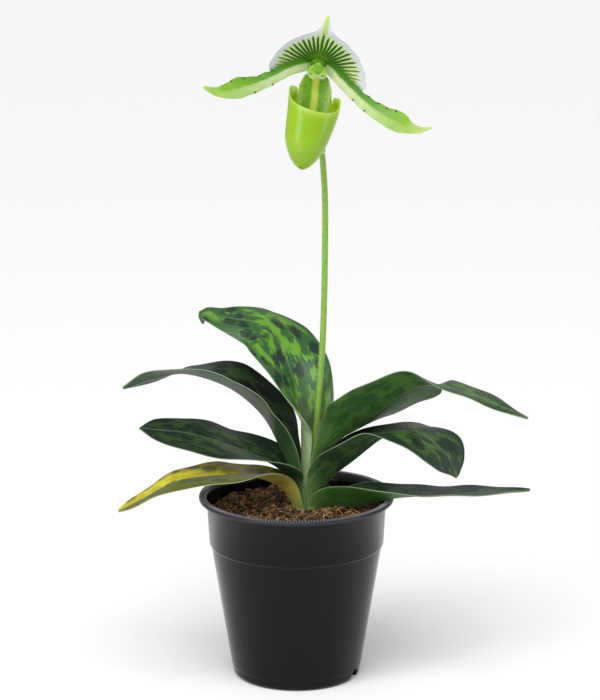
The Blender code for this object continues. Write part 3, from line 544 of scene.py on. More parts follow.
def blade(stations, rows, across):
    """Points of a leaf or petal, rows from base to tip, and for each its share along and across in mm."""
    keel = np.array([s[0] for s in stations], float)
    places, length = even_places(keel, rows)
    centre = smooth(keel, places)
    ahead = unit(smooth(keel, places + 1e-3) - smooth(keel, places - 1e-3))
    face = smooth(unit(np.array([s[1] for s in stations], float)), places)
    face = unit(face - np.sum(face * ahead, axis=1)[:, None] * ahead)
    right = np.cross(ahead, face)
    half = np.maximum(smooth([float(s[2]) for s in stations], places), 0.5)
    fold = np.radians(smooth([float(s[3]) for s in stations], places))
    cup = np.radians(smooth([float(s[4]) for s in stations], places))
    columns, spots = [], []
    for column in range(-across, across + 1):
        reach, hand = abs(column) / across, math.copysign(1, column)
        bend = fold[:, None] + cup[:, None] * reach * np.linspace(0, 1, 21)
        out = hand * half * reach * np.cos(bend).mean(axis=1)
        rise = half * reach * np.sin(bend).mean(axis=1)
        columns.append(centre + out[:, None] * right + rise[:, None] * face)
        along = np.linspace(0, length, rows + 1)
        spots.append(np.stack([along, hand * half * reach, half], axis=1))
    return np.stack(columns, axis=1), np.stack(spots, axis=1)


def sheet(name, grid, spots, thickness, mat, slot, replaced):
    """A thin closed blade. Its places are mm along, mm across and mm in from the margin, negative behind."""
    rows, columns = grid.shape[:2]
    edge_thin = np.ones((rows, columns, 1))
    edge_thin[:, (0, -1)] = 0.55
    back = grid - thickness * edge_thin * grid_normals(grid)
    points = np.concatenate([grid.reshape(-1, 3), back.reshape(-1, 3)])
    margin = spots[..., 2] - np.abs(spots[..., 1]) + 0.02
    front_place = np.stack([spots[..., 0], spots[..., 1], margin], axis=-1).reshape(-1, 3)
    back_place = front_place * np.array((1, 1, -1))
    behind = rows * columns
    faces = []
    for row in range(rows - 1):
        for column in range(columns - 1):
            a, b = row * columns + column, row * columns + column + 1
            c, d = b + columns, a + columns
            faces.append((a, b, c, d))
            faces.append((behind + d, behind + c, behind + b, behind + a))
    edge = [k for k in range(columns)] + [k * columns + columns - 1 for k in range(1, rows)]
    edge += [(rows - 1) * columns + k for k in range(columns - 2, -1, -1)]
    edge += [k * columns for k in range(rows - 2, 0, -1)]
    for a, b in zip(edge, edge[1:] + edge[:1]):
        faces.append((b, a, behind + a, behind + b))
    return piece(name, points, faces, mat, slot, replaced, np.concatenate([front_place, back_place]))


def shader_group(name, sockets, results):
    tree = bpy.data.node_groups.new(name, "ShaderNodeTree")
    for label, kind in sockets:
        tree.interface.new_socket(label, in_out="INPUT", socket_type="NodeSocket" + kind)
    for label, kind in results:
        tree.interface.new_socket(label, in_out="OUTPUT", socket_type="NodeSocket" + kind)
    return tree, tree.nodes.new("NodeGroupInput").outputs


tessellation, inputs = shader_group(
    "tessellation", [("Along", "Float"), ("Across", "Float"), ("Seed", "Float")],
    [("Light", "Float"), ("Dark", "Float"), ("Veins", "Float")])


def leaf_place(along_scale, across_scale):
    """Places on the flattened leaf, drawn out along its veins."""
    along = sum_of(tessellation, "MULTIPLY", inputs["Along"], along_scale)
    across = sum_of(tessellation, "MULTIPLY", inputs["Across"], across_scale)
    where = add(tessellation, "ShaderNodeCombineXYZ", {"X": along, "Y": across, "Z": inputs["Seed"]})
    return where.outputs[0]


def leaf_noise(along_scale, across_scale, detail):
    where = leaf_place(along_scale, across_scale)
    return noise(tessellation, where, 1.0, detail)


streaks = leaf_noise(0.09, 1.5, 2.0)
patches = leaf_noise(0.13, 0.24, 1.5)
patch_sum = sum_of(tessellation, "MULTIPLY_ADD", streaks, 0.45, patches)
light = ramp(tessellation, patch_sum, 0.69, 0.80, smoothly=True)
cells = add(tessellation, "ShaderNodeTexVoronoi", {"Vector": leaf_place(0.085, 0.13), "Scale": 1.0})
shade_sum = sum_of(tessellation, "MULTIPLY_ADD", leaf_noise(0.5, 1.1, 2.0), 0.5, cells.outputs["Distance"])
dark = ramp(tessellation, shade_sum, 0.70, 0.52, smoothly=True)
stripe = sum_of(tessellation, "SINE", sum_of(tessellation, "MULTIPLY", inputs["Across"], 2.4))
add(tessellation, "NodeGroupOutput", {"Light": light, "Dark": dark, "Veins": stripe})

# Each leaf: the sRGB ground, patches and blotches of its upper face, how strong both are, the
# ground of its underside, the mm between which its pale sheath fades out, and its near half's painted shade.
LEAF_FINISH = {
    "leaf_1": ((176, 164, 10), (206, 198, 8), (80, 86, 14), 0.9, 0.85, (186, 170, 92), (4, 20),
               (-1, (48, 68, 22), 0.85)),
    "leaf_2": ((26, 46, 32), (58, 84, 52), (18, 30, 24), 0.7, 0.6, (42, 84, 22), (4, 18), None),
    "leaf_3": ((22, 40, 28), (52, 80, 30), (14, 26, 20), 0.6, 0.6, (38, 62, 40), (10, 30), None),
    "leaf_4": ((30, 50, 36), (78, 112, 48), (20, 34, 30), 0.62, 0.7, (38, 62, 36), (8, 30), None),
    "leaf_5": ((22, 32, 28), (52, 78, 36), (16, 20, 20), 0.55, 0.6, (38, 66, 38), (14, 44), None),
    "leaf_6": ((40, 66, 36), (82, 122, 46), (26, 44, 32), 0.75, 0.65, (44, 76, 34), (22, 58), None),
    "leaf_7": ((48, 88, 44), (98, 152, 38), (22, 46, 32), 0.92, 0.95, (50, 80, 50), (54, 76), None),
}


def leaf_material(name, seed, pale, ground, patch, blotch, patch_amount, blotch_amount, under, sheath, near_shade):
    ground, patch, blotch, under = (colour(*tone) for tone in (ground, patch, blotch, under))
    mat, tree, shader = new_material(name, 0.34, Coat_Weight=0.08, Coat_Roughness=0.2)
    shader.inputs["Specular IOR Level"].default_value = 0.3
    parts = place_parts(tree)
    group = add(tree, "ShaderNodeGroup", node_tree=tessellation)
    for key, value in (("Along", parts["X"]), ("Across", parts["Y"])):
        tree.links.new(value, group.inputs[key])
    group.inputs["Seed"].default_value = seed
    inset = sum_of(tree, "ABSOLUTE", parts["Z"])
    from_edge = ramp(tree, inset, 1.5, 6.0)
    light = sum_of(tree, "MULTIPLY", group.outputs["Light"], patch_amount)
    light = sum_of(tree, "MULTIPLY", light, from_edge)
    dark = sum_of(tree, "MULTIPLY", group.outputs["Dark"], blotch_amount)
    upper = tinted(tree, dark, tinted(tree, light, ground, patch), blotch)
    # Painted shade: the near half of the blade is painted darker, standing in for the shade on the half that
    # turns down.
    if near_shade:
        hand, near_shade_tone, amount = near_shade
        shaded_near_half = ramp(tree, sum_of(tree, "MULTIPLY", parts["Y"], float(hand)), -0.5, 1.5, 0, amount)
        upper = tinted(tree, shaded_near_half, upper, colour(*near_shade_tone))
    faint = sum_of(tree, "MULTIPLY", group.outputs["Light"], 0.35)
    lower = tinted(tree, sum_of(tree, "MULTIPLY", dark, 0.3), tinted(tree, faint, under, patch), blotch)
    behind = sum_of(tree, "LESS_THAN", parts["Z"], 0.0)
    tree.links.new(ramp(tree, behind, 0, 1, 0.34, 0.55), shader.inputs["Roughness"])
    whole = tinted(tree, behind, upper, lower)
    faded = ramp(tree, parts["X"], *sheath, 0.9, 0.0)
    on_back = ramp(tree, behind, 0, 1, 0.25, 1.0)
    whole = tinted(tree, sum_of(tree, "MULTIPLY", faded, on_back), whole, pale)
    keel = ramp(tree, sum_of(tree, "ABSOLUTE", parts["Y"]), 0.15, 0.7, 0.35, 0.0)
    whole = tinted(tree, keel, whole, colour(112, 142, 96))
    # Painted highlight: a thin pale line along each margin stands in for the light caught on the leaf edge.
    whole = tinted(tree, ramp(tree, inset, 0.1, 0.34, 0.5, 0.0), whole, colour(156, 176, 134))
    paint(tree, shader, whole)
    vein = sum_of(tree, "MULTIPLY", group.outputs["Veins"], 0.35)
    bump(tree, shader, sum_of(tree, "ADD", vein, group.outputs["Light"]), 0.00012, 0.5)
    return mat


def gentle_waves(grid, spots, seed):
    """Slow waves at the margins that leave the keel and the base as they are."""
    share = np.abs(spots[..., 1]) / np.maximum(spots[..., 2], 0.01)
    along = spots[..., 0]
    start = np.clip((along - 45) / 25, 0, 1)
    lift = 0.45 * np.sin(along * 0.21 + seed * 1.7 + np.sign(spots[..., 1]) * 0.9)
    return grid + (lift * share ** 2 * start)[..., None] * grid_normals(grid)


for number, (name, stations) in enumerate(LEAVES.items()):
    grid, spots = blade(stations, LEAF_ROWS, LEAF_ACROSS)
    grid = gentle_waves(grid, spots, number)
    pale = colour(176, 198, 144) if name == "leaf_7" else colour(104, 146, 70)
    skin = leaf_material(name + " skin", 3.1 * number, pale, *LEAF_FINISH[name])
    slot = "leaf_old" if name == "leaf_1" else "leaf"
    sheet(name + "_blade", grid, spots, LEAF_THICKNESS, skin, slot, [name])


# Scape, ovary and bract
# The flower stem is yellow-green and covered with short fine down. It ends in the slim ribbed
# ovary, wrapped at its foot by a small papery bract.
SCAPE_PATH = [(6.3, 6, 84), (6.6, 6.4, 104), (8.4, 6.6, 119), (10.3, 6, 132), (11.8, 5.5, 150),
              (13.9, 5.5, 181), (14.7, 5.5, 206), (15.1, 6, 232), (15.1, 8, 258), (14.1, 11, 276),
              (13.4, 12.4, 282.6)]
SCAPE_RADII = [1.65, 1.65, 1.57]
OVARY_PATH = [(13.3, 12.6, 283.2), (13.0, 14.8, 290), (12.6, 17, 300), (11.9, 17.4, 312), (11.4, 14, 323),
              (11.2, 8, 329), (11.2, 3, 330)]
OVARY_RADII = [1.9, 2.3, 2.7, 2.7, 2.4]
BRACT = [
    ((13.1, 16.7, 288), (0, -1, 0.2), 4.4, 0, 85), ((12.9, 19.2, 294), (0, -1, 0.3), 5.2, 0, 80),
    ((12.6, 21.8, 299), (0, -1, 0.3), 3.8, 0, 70), ((12.4, 24.2, 304), (0, -1, 0.3), 0.7, 10, 40)]


def tube(path, radii, sides, steps, ribs=0.0, rib_count=6):
    """Points, faces and places (share along, turn) of a round stem with closed ends."""
    path = np.array(path, float)
    stops, length = even_places(path, steps)
    centres = smooth(path, stops)
    widths = smooth(radii, stops * (len(radii) - 1) / (len(path) - 1))
    heading = unit(np.gradient(centres, axis=0))
    side = unit(np.cross(heading, (0.31, 0.94, 0.12)))
    points, places = [], []
    for row, (centre, width, ahead, right) in enumerate(zip(centres, widths, heading, side)):
        up = np.cross(right, ahead)
        for k in range(sides):
            turn = 2 * math.pi * k / sides
            reach = width * (1 + ribs * math.cos(rib_count * turn))
            points.append(centre + reach * (math.cos(turn) * right + math.sin(turn) * up))
            places.append((row / steps, turn, math.cos(rib_count * turn)))
    faces = []
    for low in range(0, steps * sides, sides):
        high = low + sides
        faces += [(low + k, high + k, high + (k + 1) % sides, low + (k + 1) % sides) for k in range(sides)]
    faces += [tuple(range(sides)), tuple(reversed(range(steps * sides, (steps + 1) * sides)))]
    return points, faces, places


stem_mat, tree, shader = new_material("downy stem", 0.5, Sheen_Weight=0.3, Sheen_Roughness=0.4)
coords = object_place(tree)
patch = noise(tree, coords, 420.0, 4.0)
paint(tree, shader, tinted(tree, patch, colour(92, 136, 30), colour(138, 182, 62)))
bump(tree, shader, patch, 0.0002, 0.6)
hair_mat = new_material("pale down", 0.5, colour(206, 222, 168))[0]
points, faces, places = tube(SCAPE_PATH, SCAPE_RADII, 24, 120)
scape = piece("scape_stem", points, faces, stem_mat, "stem", ["scape"], places)
points, faces, places = tube(OVARY_PATH, OVARY_RADII, 36, 40, ribs=0.07)
ovary = piece("ovary_ribbed", points, faces, stem_mat, "stem", ["ovary"], places)
grid, spots = blade(BRACT, 24, 8)
sheet("bract_sheath", grid, spots, 0.55, stem_mat, "stem", ["bract"])
hair_points = [(0.05, 0, -0.1), (-0.025, 0.043, -0.1), (-0.025, -0.043, -0.1), (0.1, 0, 0.62)]
hair = piece("hair_shape", hair_points, [(2, 1, 0), (0, 1, 3), (1, 2, 3), (2, 0, 3)], hair_mat, None)
for carrier, name, seed in ((scape, "scape_down", 5), (ovary, "ovary_down", 6)):
    run_group(scatter, carrier, name, "stem", piece=hair, piece_material=hair_mat, density=1600000.0,
              seed=seed, smallest=0.5, largest=1.0, lean=0.5, curl=0.0, curl_scale=1.0, reach=1.0)


# Dorsal sepal
# A broad white hood that leans forward over the flower, drawn to a short point, with dark
# green veins that radiate from its foot and stop short of the white border.
FLOWER, FLOWER_LEAN = np.array((11.2, 0.0, 330.0)), math.radians(10)
SEPAL_BASE, SEPAL_ROOT, SEPAL_SPREAD, SEPAL_ROLL, PETAL_THICKNESS = (0.0, 5.3, 0.3), 3.4, 118, 30.0, 0.6
SEPAL_REACH = {
    "right": [(0, 42), (4, 35), (9, 31), (16, 28.8), (30, 28), (50, 29.5), (70, 31), (90, 31), (104, 29),
              (112, 25), (118, 19)],
    "left": [(0, 42), (4, 35), (9, 31), (16, 28.8), (30, 28), (50, 29.5), (70, 30.5), (84, 30), (94, 28),
             (104, 24), (118, 16)]}
SEPAL_VEINS = 16


def in_flower(grid):
    """Turn the flower's own places, x right, y back and z up, by its lean, and set them."""
    x, y, z = grid[..., 0], grid[..., 1], grid[..., 2]
    turned_x = x * math.cos(FLOWER_LEAN) + z * math.sin(FLOWER_LEAN)
    turned_z = z * math.cos(FLOWER_LEAN) - x * math.sin(FLOWER_LEAN)
    return FLOWER + np.stack([turned_x, y, turned_z], axis=-1)


def sepal_point(turn, reach):
    across, along = reach * math.sin(turn), reach * math.cos(turn)
    lift = math.radians(65 - 1.6 * min(along, 28)) + math.radians(4.5) * max(along - 28, 0)
    steps = np.linspace(0, along, 30)
    rise = np.radians(65 - 1.6 * np.minimum(steps, 28)) + np.radians(4.5) * np.maximum(steps - 28, 0)
    forward, up = along * np.cos(rise).mean(), along * np.sin(rise).mean()
    droop = SEPAL_ROLL * (1 - math.cos(across / SEPAL_ROLL))
    x = SEPAL_BASE[0] + SEPAL_ROLL * math.sin(across / SEPAL_ROLL)
    return x, SEPAL_BASE[1] - forward - droop * math.sin(lift), SEPAL_BASE[2] + up - droop * math.cos(lift)


spokes, rings = 132, 40
grid, spots = np.zeros((spokes + 1, rings + 1, 3)), np.zeros((spokes + 1, rings + 1, 3))
for i in range(spokes + 1):
    part = 2 * i / spokes - 1
    turn = SEPAL_SPREAD * part * (0.45 + 0.55 * abs(part))
    degrees, reaches = zip(*SEPAL_REACH["right" if turn > 0 else "left"])
    outer = float(np.interp(abs(turn), degrees, reaches)) + 0.25 * math.sin(turn * 0.31)
    for j in range(rings + 1):
        share = j / rings
        reach = SEPAL_ROOT + (outer - SEPAL_ROOT) * share
        veins_per_degree = SEPAL_VEINS / SEPAL_SPREAD * (0.70 + 0.42 * share)
        grid[i, j] = sepal_point(math.radians(turn), reach)
        spots[i, j] = (turn * veins_per_degree, share, math.radians(reach) / veins_per_degree)
grid, spots = grid[::-1], spots[::-1]
ripple = 0.10 * np.cos(2 * math.pi * spots[..., 0]) * (spots[..., 1] < 0.97)
grid = grid + ripple[..., None] * grid_normals(grid)

sepal_mat, tree, shader = new_material("striped sepal", 0.5, Subsurface_Weight=0.12, Subsurface_Scale=0.002)
parts = place_parts(tree)
coords = object_place(tree)
shake = noise(tree, coords, 170.0, 2.0)
vein_at = sum_of(tree, "ADD", parts["X"], ramp(tree, shake, 0, 1, -0.14, 0.14))
index = sum_of(tree, "ROUND", vein_at)
to_side = sum_of(tree, "ABSOLUTE", parts["X"])
ends = ramp(tree, sum_of(tree, "PINGPONG", index, 1.0), 0, 1, 0.81, 0.74)
ends = sum_of(tree, "ADD", ends, ramp(tree, to_side, 4, 11, 0.0, 0.06))
ends = sum_of(tree, "MULTIPLY_ADD", sum_of(tree, "COMPARE", index, 0.0, 0.5), -0.12, ends)
half_width = ramp(tree, sum_of(tree, "SUBTRACT", ends, parts["Y"]), 0.0, 0.16, -0.05, 0.66)
from_vein = sum_of(tree, "MULTIPLY", sum_of(tree, "PINGPONG", vein_at, 0.5), parts["Z"])
veined = ramp(tree, sum_of(tree, "SUBTRACT", half_width, from_vein), -0.10, 0.14, smoothly=True)
ground = tinted(tree, ramp(tree, parts["Y"], 0.10, 0.60), colour(132, 190, 20), colour(206, 228, 164))
# Painted shade: the white border is painted light grey-lavender instead of white, standing in for the shade
# on it.
ground = tinted(tree, ramp(tree, parts["Y"], 0.68, 0.82), ground, colour(220, 223, 233))
near_middle = sum_of(tree, "MULTIPLY", ramp(tree, to_side, 0.6, 0.1), ramp(tree, parts["Y"], 0.6, 0.72))
ground = tinted(tree, near_middle, ground, colour(176, 206, 104))
line = tinted(tree, ramp(tree, to_side, 8.0, 13.0), colour(44, 92, 4), colour(140, 182, 30))
line = tinted(tree, ramp(tree, parts["Y"], 0.02, 0.22), colour(96, 160, 10), line)
paint(tree, shader, tinted(tree, veined, ground, line))
sepal = sheet("dorsal_sepal_hood", in_flower(grid), spots, PETAL_THICKNESS, sepal_mat, "sepal",
              ["dorsal_sepal"])
layer = sepal.data.attributes["place"]
layer.data.foreach_set("vector", np.concatenate([spots.reshape(-1, 3)] * 2).ravel())


# Petals
# Two narrow petals that reach down and out and end in a wavy, turned tip. The upper half is
# dark green, the lower half pale, and a few dark warts with hairs sit on the margins.
PETAL_LEFT = [
    ((-4.3, 0.2, 1.4), (0, -10, 3), 3.2, -15, -10), ((-7, -2.4, 0.4), (0, -10, 3), 4.0, -20, -12),
    ((-14.7, -6, -2.9), (0, -10, 3), 4.2, -25, -12), ((-22.1, -11, -7.8), (0, -10, 3), 4.5, -28, -12),
    ((-30.1, -15, -12.4), (0, -10, 3), 4.8, -22, -10), ((-37.8, -18, -15.6), (1, -10, 1), 5.6, -10, -5),
    ((-44.5, -20, -18.3), (2, -10, 3), 3.8, 0, 0), ((-50.1, -21, -19.2), (2, -10, 3), 2.2, 0, 0),
    ((-56.3, -22, -18), (1, -10, 3), 0.5, 0, 0)]
PETAL_RIGHT = [
    ((4.3, 0.2, 1.4), (0, -10, 3), 3.2, -15, -10), ((6.9, -2.4, 0.5), (0, -10, 3), 4.0, -20, -12),
    ((11.5, -4.8, -2.7), (0, -10, 3), 4.2, -25, -12), ((21.5, -9.5, -9.4), (0, -10, 3), 4.4, -28, -12),
    ((29, -13, -13.6), (0, -10, 3), 4.6, -22, -10), ((37.9, -16, -17.1), (0, -10, 2), 4.9, -12, -6),
    ((45.5, -18, -19), (-1, -10, 1), 5.4, -4, -3), ((51, -19.4, -20.6), (-2, -10, 3), 3.2, 0, 0),
    ((56.5, -20.8, -20.6), (-2, -10, 3), 1.7, 0, 0), ((62.2, -22, -18.4), (-1, -10, 3), 0.5, 0, 0)]
SYNSEPAL = [
    ((0, 4.0, -3.6), (0, -1, -0.2), 3.8, 0, 20), ((0.8, 4.6, -9), (0, -1, -0.2), 6.6, 0, 35),
    ((0, 6.4, -22), (0, -1, 0), 9.0, 0, 40), ((0, 6.8, -33), (0, -1, 0), 5.5, 0, 30),
    ((0, 6.6, -39), (0, -1, 0), 0.7, 0, 20)]
WARTS = {"petal_left": ((0.34, 1), (0.47, 1), (0.62, 1), (0.74, 1), (0.40, -1), (0.56, -1)),
         "petal_right": ((0.42, 1), (0.52, 1), (0.60, 1), (0.68, 1), (0.35, -1), (0.46, -1))}


def petal_material(name, upper_hand, streaks):
    """Dark above and pale below the fold; upper_hand is the side of the upper margin, 1 right or -1 left."""
    mat, tree, shader = new_material(name, 0.42, Subsurface_Weight=0.1, Subsurface_Scale=0.002)
    parts = place_parts(tree)
    coords = object_place(tree)
    shake = noise(tree, coords, 240.0, 3.0)
    up = sum_of(tree, "MULTIPLY", parts["Y"], float(upper_hand))
    above = ramp(tree, sum_of(tree, "MULTIPLY_ADD", shake, 1.4, up), 0.0, 1.4)
    outward = ramp(tree, parts["X"], 20, 56)
    dark = tinted(tree, outward, colour(64, 124, 0), colour(118, 168, 16))
    pale = tinted(tree, outward, colour(194, 212, 154), colour(130, 172, 44))
    face = tinted(tree, above, pale, dark)
    face = tinted(tree, ramp(tree, parts["X"], 52, 68), face, colour(178, 200, 112))
    lines = sum_of(tree, "SINE", sum_of(tree, "MULTIPLY", parts["Y"], 5.2))
    face = tinted(tree, ramp(tree, lines, 0.2, 1.0, 0.0, streaks), face, colour(64, 118, 6))
    paint(tree, shader, face)
    bump(tree, shader, lines, 0.00008, 0.5)
    return mat


wart_mat = new_material("dark wart", 0.4, colour(34, 38, 18))[0]
wart_points, wart_faces = turned([(0, -1), (0.75, -0.6), (1, 0), (0.75, 0.6), (0, 1)], 8)
first = len(wart_points)
for k in range(3):
    lean = 2 * math.pi * k / 3
    base = np.array((0.35 * math.cos(lean), 0.35 * math.sin(lean), 0.6))
    tip = np.array((1.7 * math.cos(lean), 1.7 * math.sin(lean), 3.2))
    wart_points += [tuple(base), tuple(base + (0.22, 0, 0)), tuple(base + (0, 0.22, 0)), tuple(tip)]
    low = first + 4 * k
    wart_faces += [(low, low + 2, low + 1), (low, low + 1, low + 3), (low + 1, low + 2, low + 3),
                   (low + 2, low, low + 3)]
wart = piece("wart_shape", wart_points, wart_faces, wart_mat, None)

for name, stations, hand in (("petal_left", PETAL_LEFT, 1), ("petal_right", PETAL_RIGHT, -1)):
    grid, spots = blade(stations, 110, 8)
    share = np.abs(spots[..., 1]) / np.maximum(spots[..., 2], 0.01)
    along = spots[..., 0]
    start = np.clip((along - 8) / 10, 0, 1) * np.clip((66 - along) / 8, 0, 1)
    lift = 0.35 * np.sin(along * 0.75 + hand) * share ** 2 * start
    grid = in_flower(grid + lift[..., None] * grid_normals(grid))
    skin = petal_material(name + " skin", hand, 0.22)
    sheet(name + "_blade", grid, spots, PETAL_THICKNESS, skin, "petal", [name])
    wart_spots, wart_turns = [], []
    for number, (part, side) in enumerate(WARTS[name]):
        row, column = round(part * 110), (15 if side * hand > 0 else 1)
        wart_spots.append(grid[row, column])
        wart_turns.append((math.radians(62), 0.3 * math.sin(2.1 * number), 0.4 * math.cos(1.3 * number)))
    carrier = place_points("wart_spots", wart_spots, wart_turns, [(0.5, 0.5, 0.42)] * len(wart_spots))
    run_group(set_out, carrier, name + "_warts", "petal", piece=wart, piece_material=wart_mat)
    bpy.data.objects.remove(carrier, do_unlink=True)
bpy.data.objects.remove(wart, do_unlink=True)
grid, spots = blade(SYNSEPAL, 48, 10)
skin = petal_material("synsepal skin", 1, 0.8)
sheet("synsepal_blade", in_flower(grid), spots, PETAL_THICKNESS, skin, "petal", ["synsepal"])


# Pouch
# The slipper lip: a waxy yellow-green pouch with a thin rim turned up into two ears, and at its
# back the upright claw, dark-spotted inside with a pale strip down its middle.
POUCH_HEIGHTS = (-3, -8, -12, -16, -20, -25, -31, -37, -42, -46.5, -49.5, -51.2)
POUCH_WIDTHS = (12.4, 12.9, 13.5, 13.6, 13.4, 12.9, 12.1, 11.0, 9.2, 6.8, 4.2, 1.8)
POUCH_DEPTHS = (6.0, 8.0, 9.6, 10.6, 11.2, 11.4, 11.2, 10.4, 8.8, 6.4, 4.0, 1.8)
POUCH_ACROSS = (0.3, 0.4, 0.6, 1.0, 1.2, 1.0, 0.6, 0.2, 0.2, 0.2, 0.3, 0.4)
POUCH_BACK = (-5.3, -7.6, -9.8, -12.0, -13.6, -14.8, -16.0, -17.0, -17.8, -18.4, -18.8, -19.0)
POUCH_TOE = -51.9
EDGE_ANGLES = (0, 30, 60, 78, 90, 102, 114, 124, 132, 140, 150, 164, 180)
EDGE_HEIGHTS = (-19.9, -19.4, -18.0, -15.8, -13.8, -12.6, -12.7, -14.6, -17.0, -11.0, -5.6, -4.4, -4.2)
EAR_DROP = 1.2


def by_height(values, height):
    """A smooth reading of one of the pouch's rows of values at a height."""
    rising = np.array(POUCH_HEIGHTS[::-1])
    spot = np.interp(height, rising, np.arange(len(rising)))
    return float(smooth(np.array(values[::-1], float), [spot])[0])


around, down = 160, 70
grid, places = np.zeros((down + 1, around, 3)), np.zeros((down + 1, around, 3))
for k in range(around):
    turn = 2 * math.pi * k / around
    from_front = abs((math.degrees(turn) + 180) % 360 - 180)
    spot = np.interp(from_front, EDGE_ANGLES, np.arange(len(EDGE_ANGLES)))
    edge = float(smooth(np.array(EDGE_HEIGHTS, float), [spot])[0])
    edge -= EAR_DROP * math.sin(turn) * min(1, max(0, (140 - from_front) / 20))
    for row in range(down + 1):
        part = row / down
        height = edge + (POUCH_HEIGHTS[-1] - edge) * (1.25 * part - 0.25 * part ** 3) ** 0.9
        wide, deep, across, back = (by_height(v, height) for v in (POUCH_WIDTHS, POUCH_DEPTHS, POUCH_ACROSS,
                                                                 POUCH_BACK))
        folded = 2.6 * max(0, 1 - ((from_front - 121) / 19) ** 2) * min(1, max(0, (height + 19) / 6))
        x = across + (wide - folded) * math.sin(turn)
        grid[row, k] = (x, back - deep * math.cos(turn), height)
        places[row, k] = (edge - height, from_front, 0)
shell = in_flower(grid)
toe = in_flower(np.array((0.4, -19.0, POUCH_TOE)))
wrapped = np.concatenate([shell[:, -1:], shell, shell[:, :1]], axis=1)
inward = -grid_normals(wrapped)[:, 1:-1]
if np.sum(inward * (shell.mean(axis=(0, 1)) - shell)) < 0:
    inward = -inward
lining = shell + PETAL_THICKNESS * inward
up = unit(shell[0].mean(axis=0) - toe)
points = np.concatenate([shell.reshape(-1, 3), [toe], lining.reshape(-1, 3), [toe + PETAL_THICKNESS * up]])
inner_places = places + np.array((0, 0, 1.0))
all_places = np.concatenate([places.reshape(-1, 3), [(30, 0, 0)], inner_places.reshape(-1, 3), [(30, 0, 1)]])
behind = (down + 1) * around + 1
faces = []
for row in range(down):
    for k in range(around):
        a, b = row * around + k, row * around + (k + 1) % around
        outer = (a, a + around, b + around, b)
        faces += [outer, tuple(behind + corner for corner in reversed(outer))]
for k in range(around):
    a, b = down * around + k, down * around + (k + 1) % around
    faces += [(a, behind - 1, b), (behind + b, 2 * behind - 1, behind + a)]
    faces.append((k, (k + 1) % around, behind + (k + 1) % around, behind + k))

pouch_mat, tree, shader = new_material("waxy pouch", 0.3, Subsurface_Weight=0.15, Subsurface_Scale=0.003)
parts = place_parts(tree)
coords = object_place(tree)
cloud = noise(tree, coords, 60.0, 4.0)
skin = tinted(tree, ramp(tree, cloud, 0.3, 0.7), colour(120, 160, 0), colour(138, 176, 0))
skin = tinted(tree, ramp(tree, parts["X"], 0.2, 3.0, 0.5, 0.0), skin, colour(172, 204, 84))
cells = add(tree, "ShaderNodeTexVoronoi", {"Vector": coords, "Scale": 1000.0}).outputs["Distance"]
in_claw = sum_of(tree, "MULTIPLY", ramp(tree, parts["Y"], 146, 152), ramp(tree, parts["Y"], 175, 170))
walls = sum_of(tree, "MULTIPLY", in_claw, parts["Z"])
skin = tinted(tree, sum_of(tree, "MULTIPLY", walls, 0.85), skin, colour(104, 164, 4))
skin = tinted(tree, sum_of(tree, "MULTIPLY", walls, ramp(tree, cells, 0.34, 0.22)), skin, colour(52, 104, 2))
strip = sum_of(tree, "MULTIPLY", ramp(tree, parts["Y"], 170, 175), parts["Z"])
skin = tinted(tree, strip, skin, colour(190, 210, 70))
paint(tree, shader, skin)
bump(tree, shader, cloud, 0.0006, 0.35)
piece("pouch_shell", points, faces, pouch_mat, "pouch", ["pouch"], all_places)


# Column
# The short column stands in the middle of the flower and ends in its shield, pale with a bright
# green raised boss and two small olive marks, which closes the back of the pouch.
def ball(middle, radii, sides=32, rows=16):
    profile = [(0, -1)] + [(math.sin(math.pi * k / rows), -math.cos(math.pi * k / rows))
                           for k in range(1, rows)] + [(0, 1)]
    points, faces = turned(profile, sides)
    return in_flower(np.array(points) * np.array(radii) + np.array(middle)), faces


column_mat, tree, shader = new_material("column wax", 0.38, Subsurface_Weight=0.15, Subsurface_Scale=0.002)
coords = object_place(tree)
level = add(tree, "ShaderNodeSeparateXYZ", {"Vector": coords}).outputs["Z"]
wax = tinted(tree, ramp(tree, level, 0.3235, 0.3285), colour(200, 216, 150), colour(120, 170, 16))
paint(tree, shader, wax)
boss_mat, tree, shader = new_material("bright boss", 0.3, Subsurface_Weight=0.1, Subsurface_Scale=0.002)
coords = object_place(tree)
cloud = noise(tree, coords, 500.0, 2.0)
paint(tree, shader, tinted(tree, cloud, colour(70, 132, 0), colour(128, 176, 10)))
dot_mat = new_material("dark dot", 0.4, colour(112, 122, 26))[0]
core_path = in_flower(np.array([(0, 2.0, -0.4), (0, -2, -0.9), (0, -6, -2.0)]))
points, faces, _ = tube(core_path, [3.1, 3.0, 2.6], 32, 12)
piece("column_core", points, faces, column_mat, "column", ["column"])
points, faces = ball((0, 3.0, 0.0), (4.4, 1.4, 3.6))
piece("flower_base", points, faces, column_mat, "column")
points, faces = ball((0, -7.0, -2.4), (5.2, 1.5, 4.3))
shield = (points - FLOWER) / np.array((5.2, 1.5, 4.3))
notch = np.clip(1 - np.abs(points[:, 0] - FLOWER[0]) / 2.6, 0, 1) * (points[:, 2] < FLOWER[2] - 3.4)
points[:, 2] += 1.4 * notch
points[:, 1] += 0.5 * np.clip(1 - np.hypot(shield[:, 0], shield[:, 2]), 0, 1)
piece("column_shield", points, faces, column_mat, "column")
points, faces = ball((0, -7.8, -0.2), (2.4, 1.2, 3.4))
piece("column_boss", points, faces, boss_mat, "column")
for name, x in (("column_dot_left", -3.0), ("column_dot_right", 3.0)):
    points, faces = ball((x, -8.0, -3.5), (1.1, 0.35, 0.5), 16, 8)
    piece(name, points, faces, dot_mat, "column")
bpy.data.objects.remove(hair, do_unlink=True)


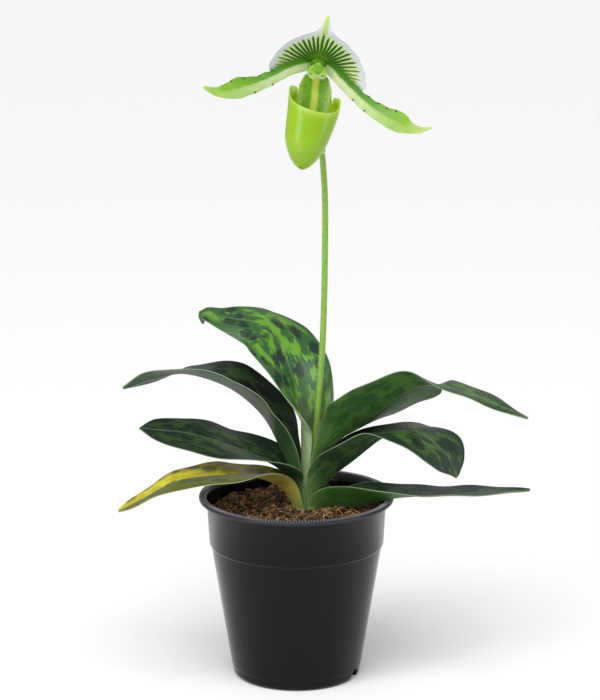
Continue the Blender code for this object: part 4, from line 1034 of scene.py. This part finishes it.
# Studio
# A plain white table and room, a soft sun above, soft boxes at both sides and the photo's view.
bpy.context.scene.view_settings.view_transform = "Standard"
room = bpy.context.scene.world or bpy.data.worlds.new("room")
bpy.context.scene.world = room
room.use_nodes = True
tree = room.node_tree
seen = add(tree, "ShaderNodeLightPath").outputs["Is Camera Ray"]
glow = add(tree, "ShaderNodeMapRange", {"Value": seen, "To Min": 0.5, "To Max": 1.0}).outputs["Result"]
tree.nodes["Background"].inputs["Color"].default_value = (1, 1, 1, 1)
tree.links.new(glow, tree.nodes["Background"].inputs["Strength"])
table_mat = new_material("white table", 0.7, (0.9, 0.9, 0.9), Specular_IOR_Level=0.1)[0]
table = [(4000 * x, 4000 * y, 0) for x, y in corners]
floor = piece("table", table, [(0, 1, 2, 3)], table_mat, None)
for name, spot, wide, high, power in (("left box", (-0.8, -0.7, 0.6), 0.3, 1.1, 4),
                                      ("right box", (1.0, -0.4, 0.5), 0.5, 1.1, 3),
                                      ("front strip", (-0.93, -1.18, 0.45), 0.12, 0.8, 1.6)):
    light = bpy.data.lights.new(name, "AREA")
    light.shape, light.size, light.size_y, light.energy = "RECTANGLE", wide, high, power
    lamp = bpy.data.objects.new(name, light)
    lamp.location = spot
    aim = np.array((0, 0, 0.2)) - np.array(spot)
    down, across = math.atan2(math.hypot(aim[0], aim[1]), -aim[2]), math.atan2(aim[1], aim[0])
    lamp.rotation_euler = (down, 0, across - math.pi / 2)
    link(lamp)
ceiling = bpy.data.lights.new("soft ceiling", "SUN")
ceiling.energy, ceiling.angle = 2.05, math.radians(50)
lamp = bpy.data.objects.new("soft ceiling", ceiling)
lamp.rotation_euler = (math.radians(32), math.radians(-8), 0)
link(lamp)

camera_data = bpy.data.cameras.new("photo view")
camera_data.lens, camera_data.sensor_width = 133.6, 36.0
camera = bpy.data.objects.new("photo view", camera_data)
camera.location = (0.0019, -1.3423, 0.4926)
camera.rotation_euler = (math.radians(90 - 13.14), 0, 0)
link(camera)
bpy.context.scene.camera = camera
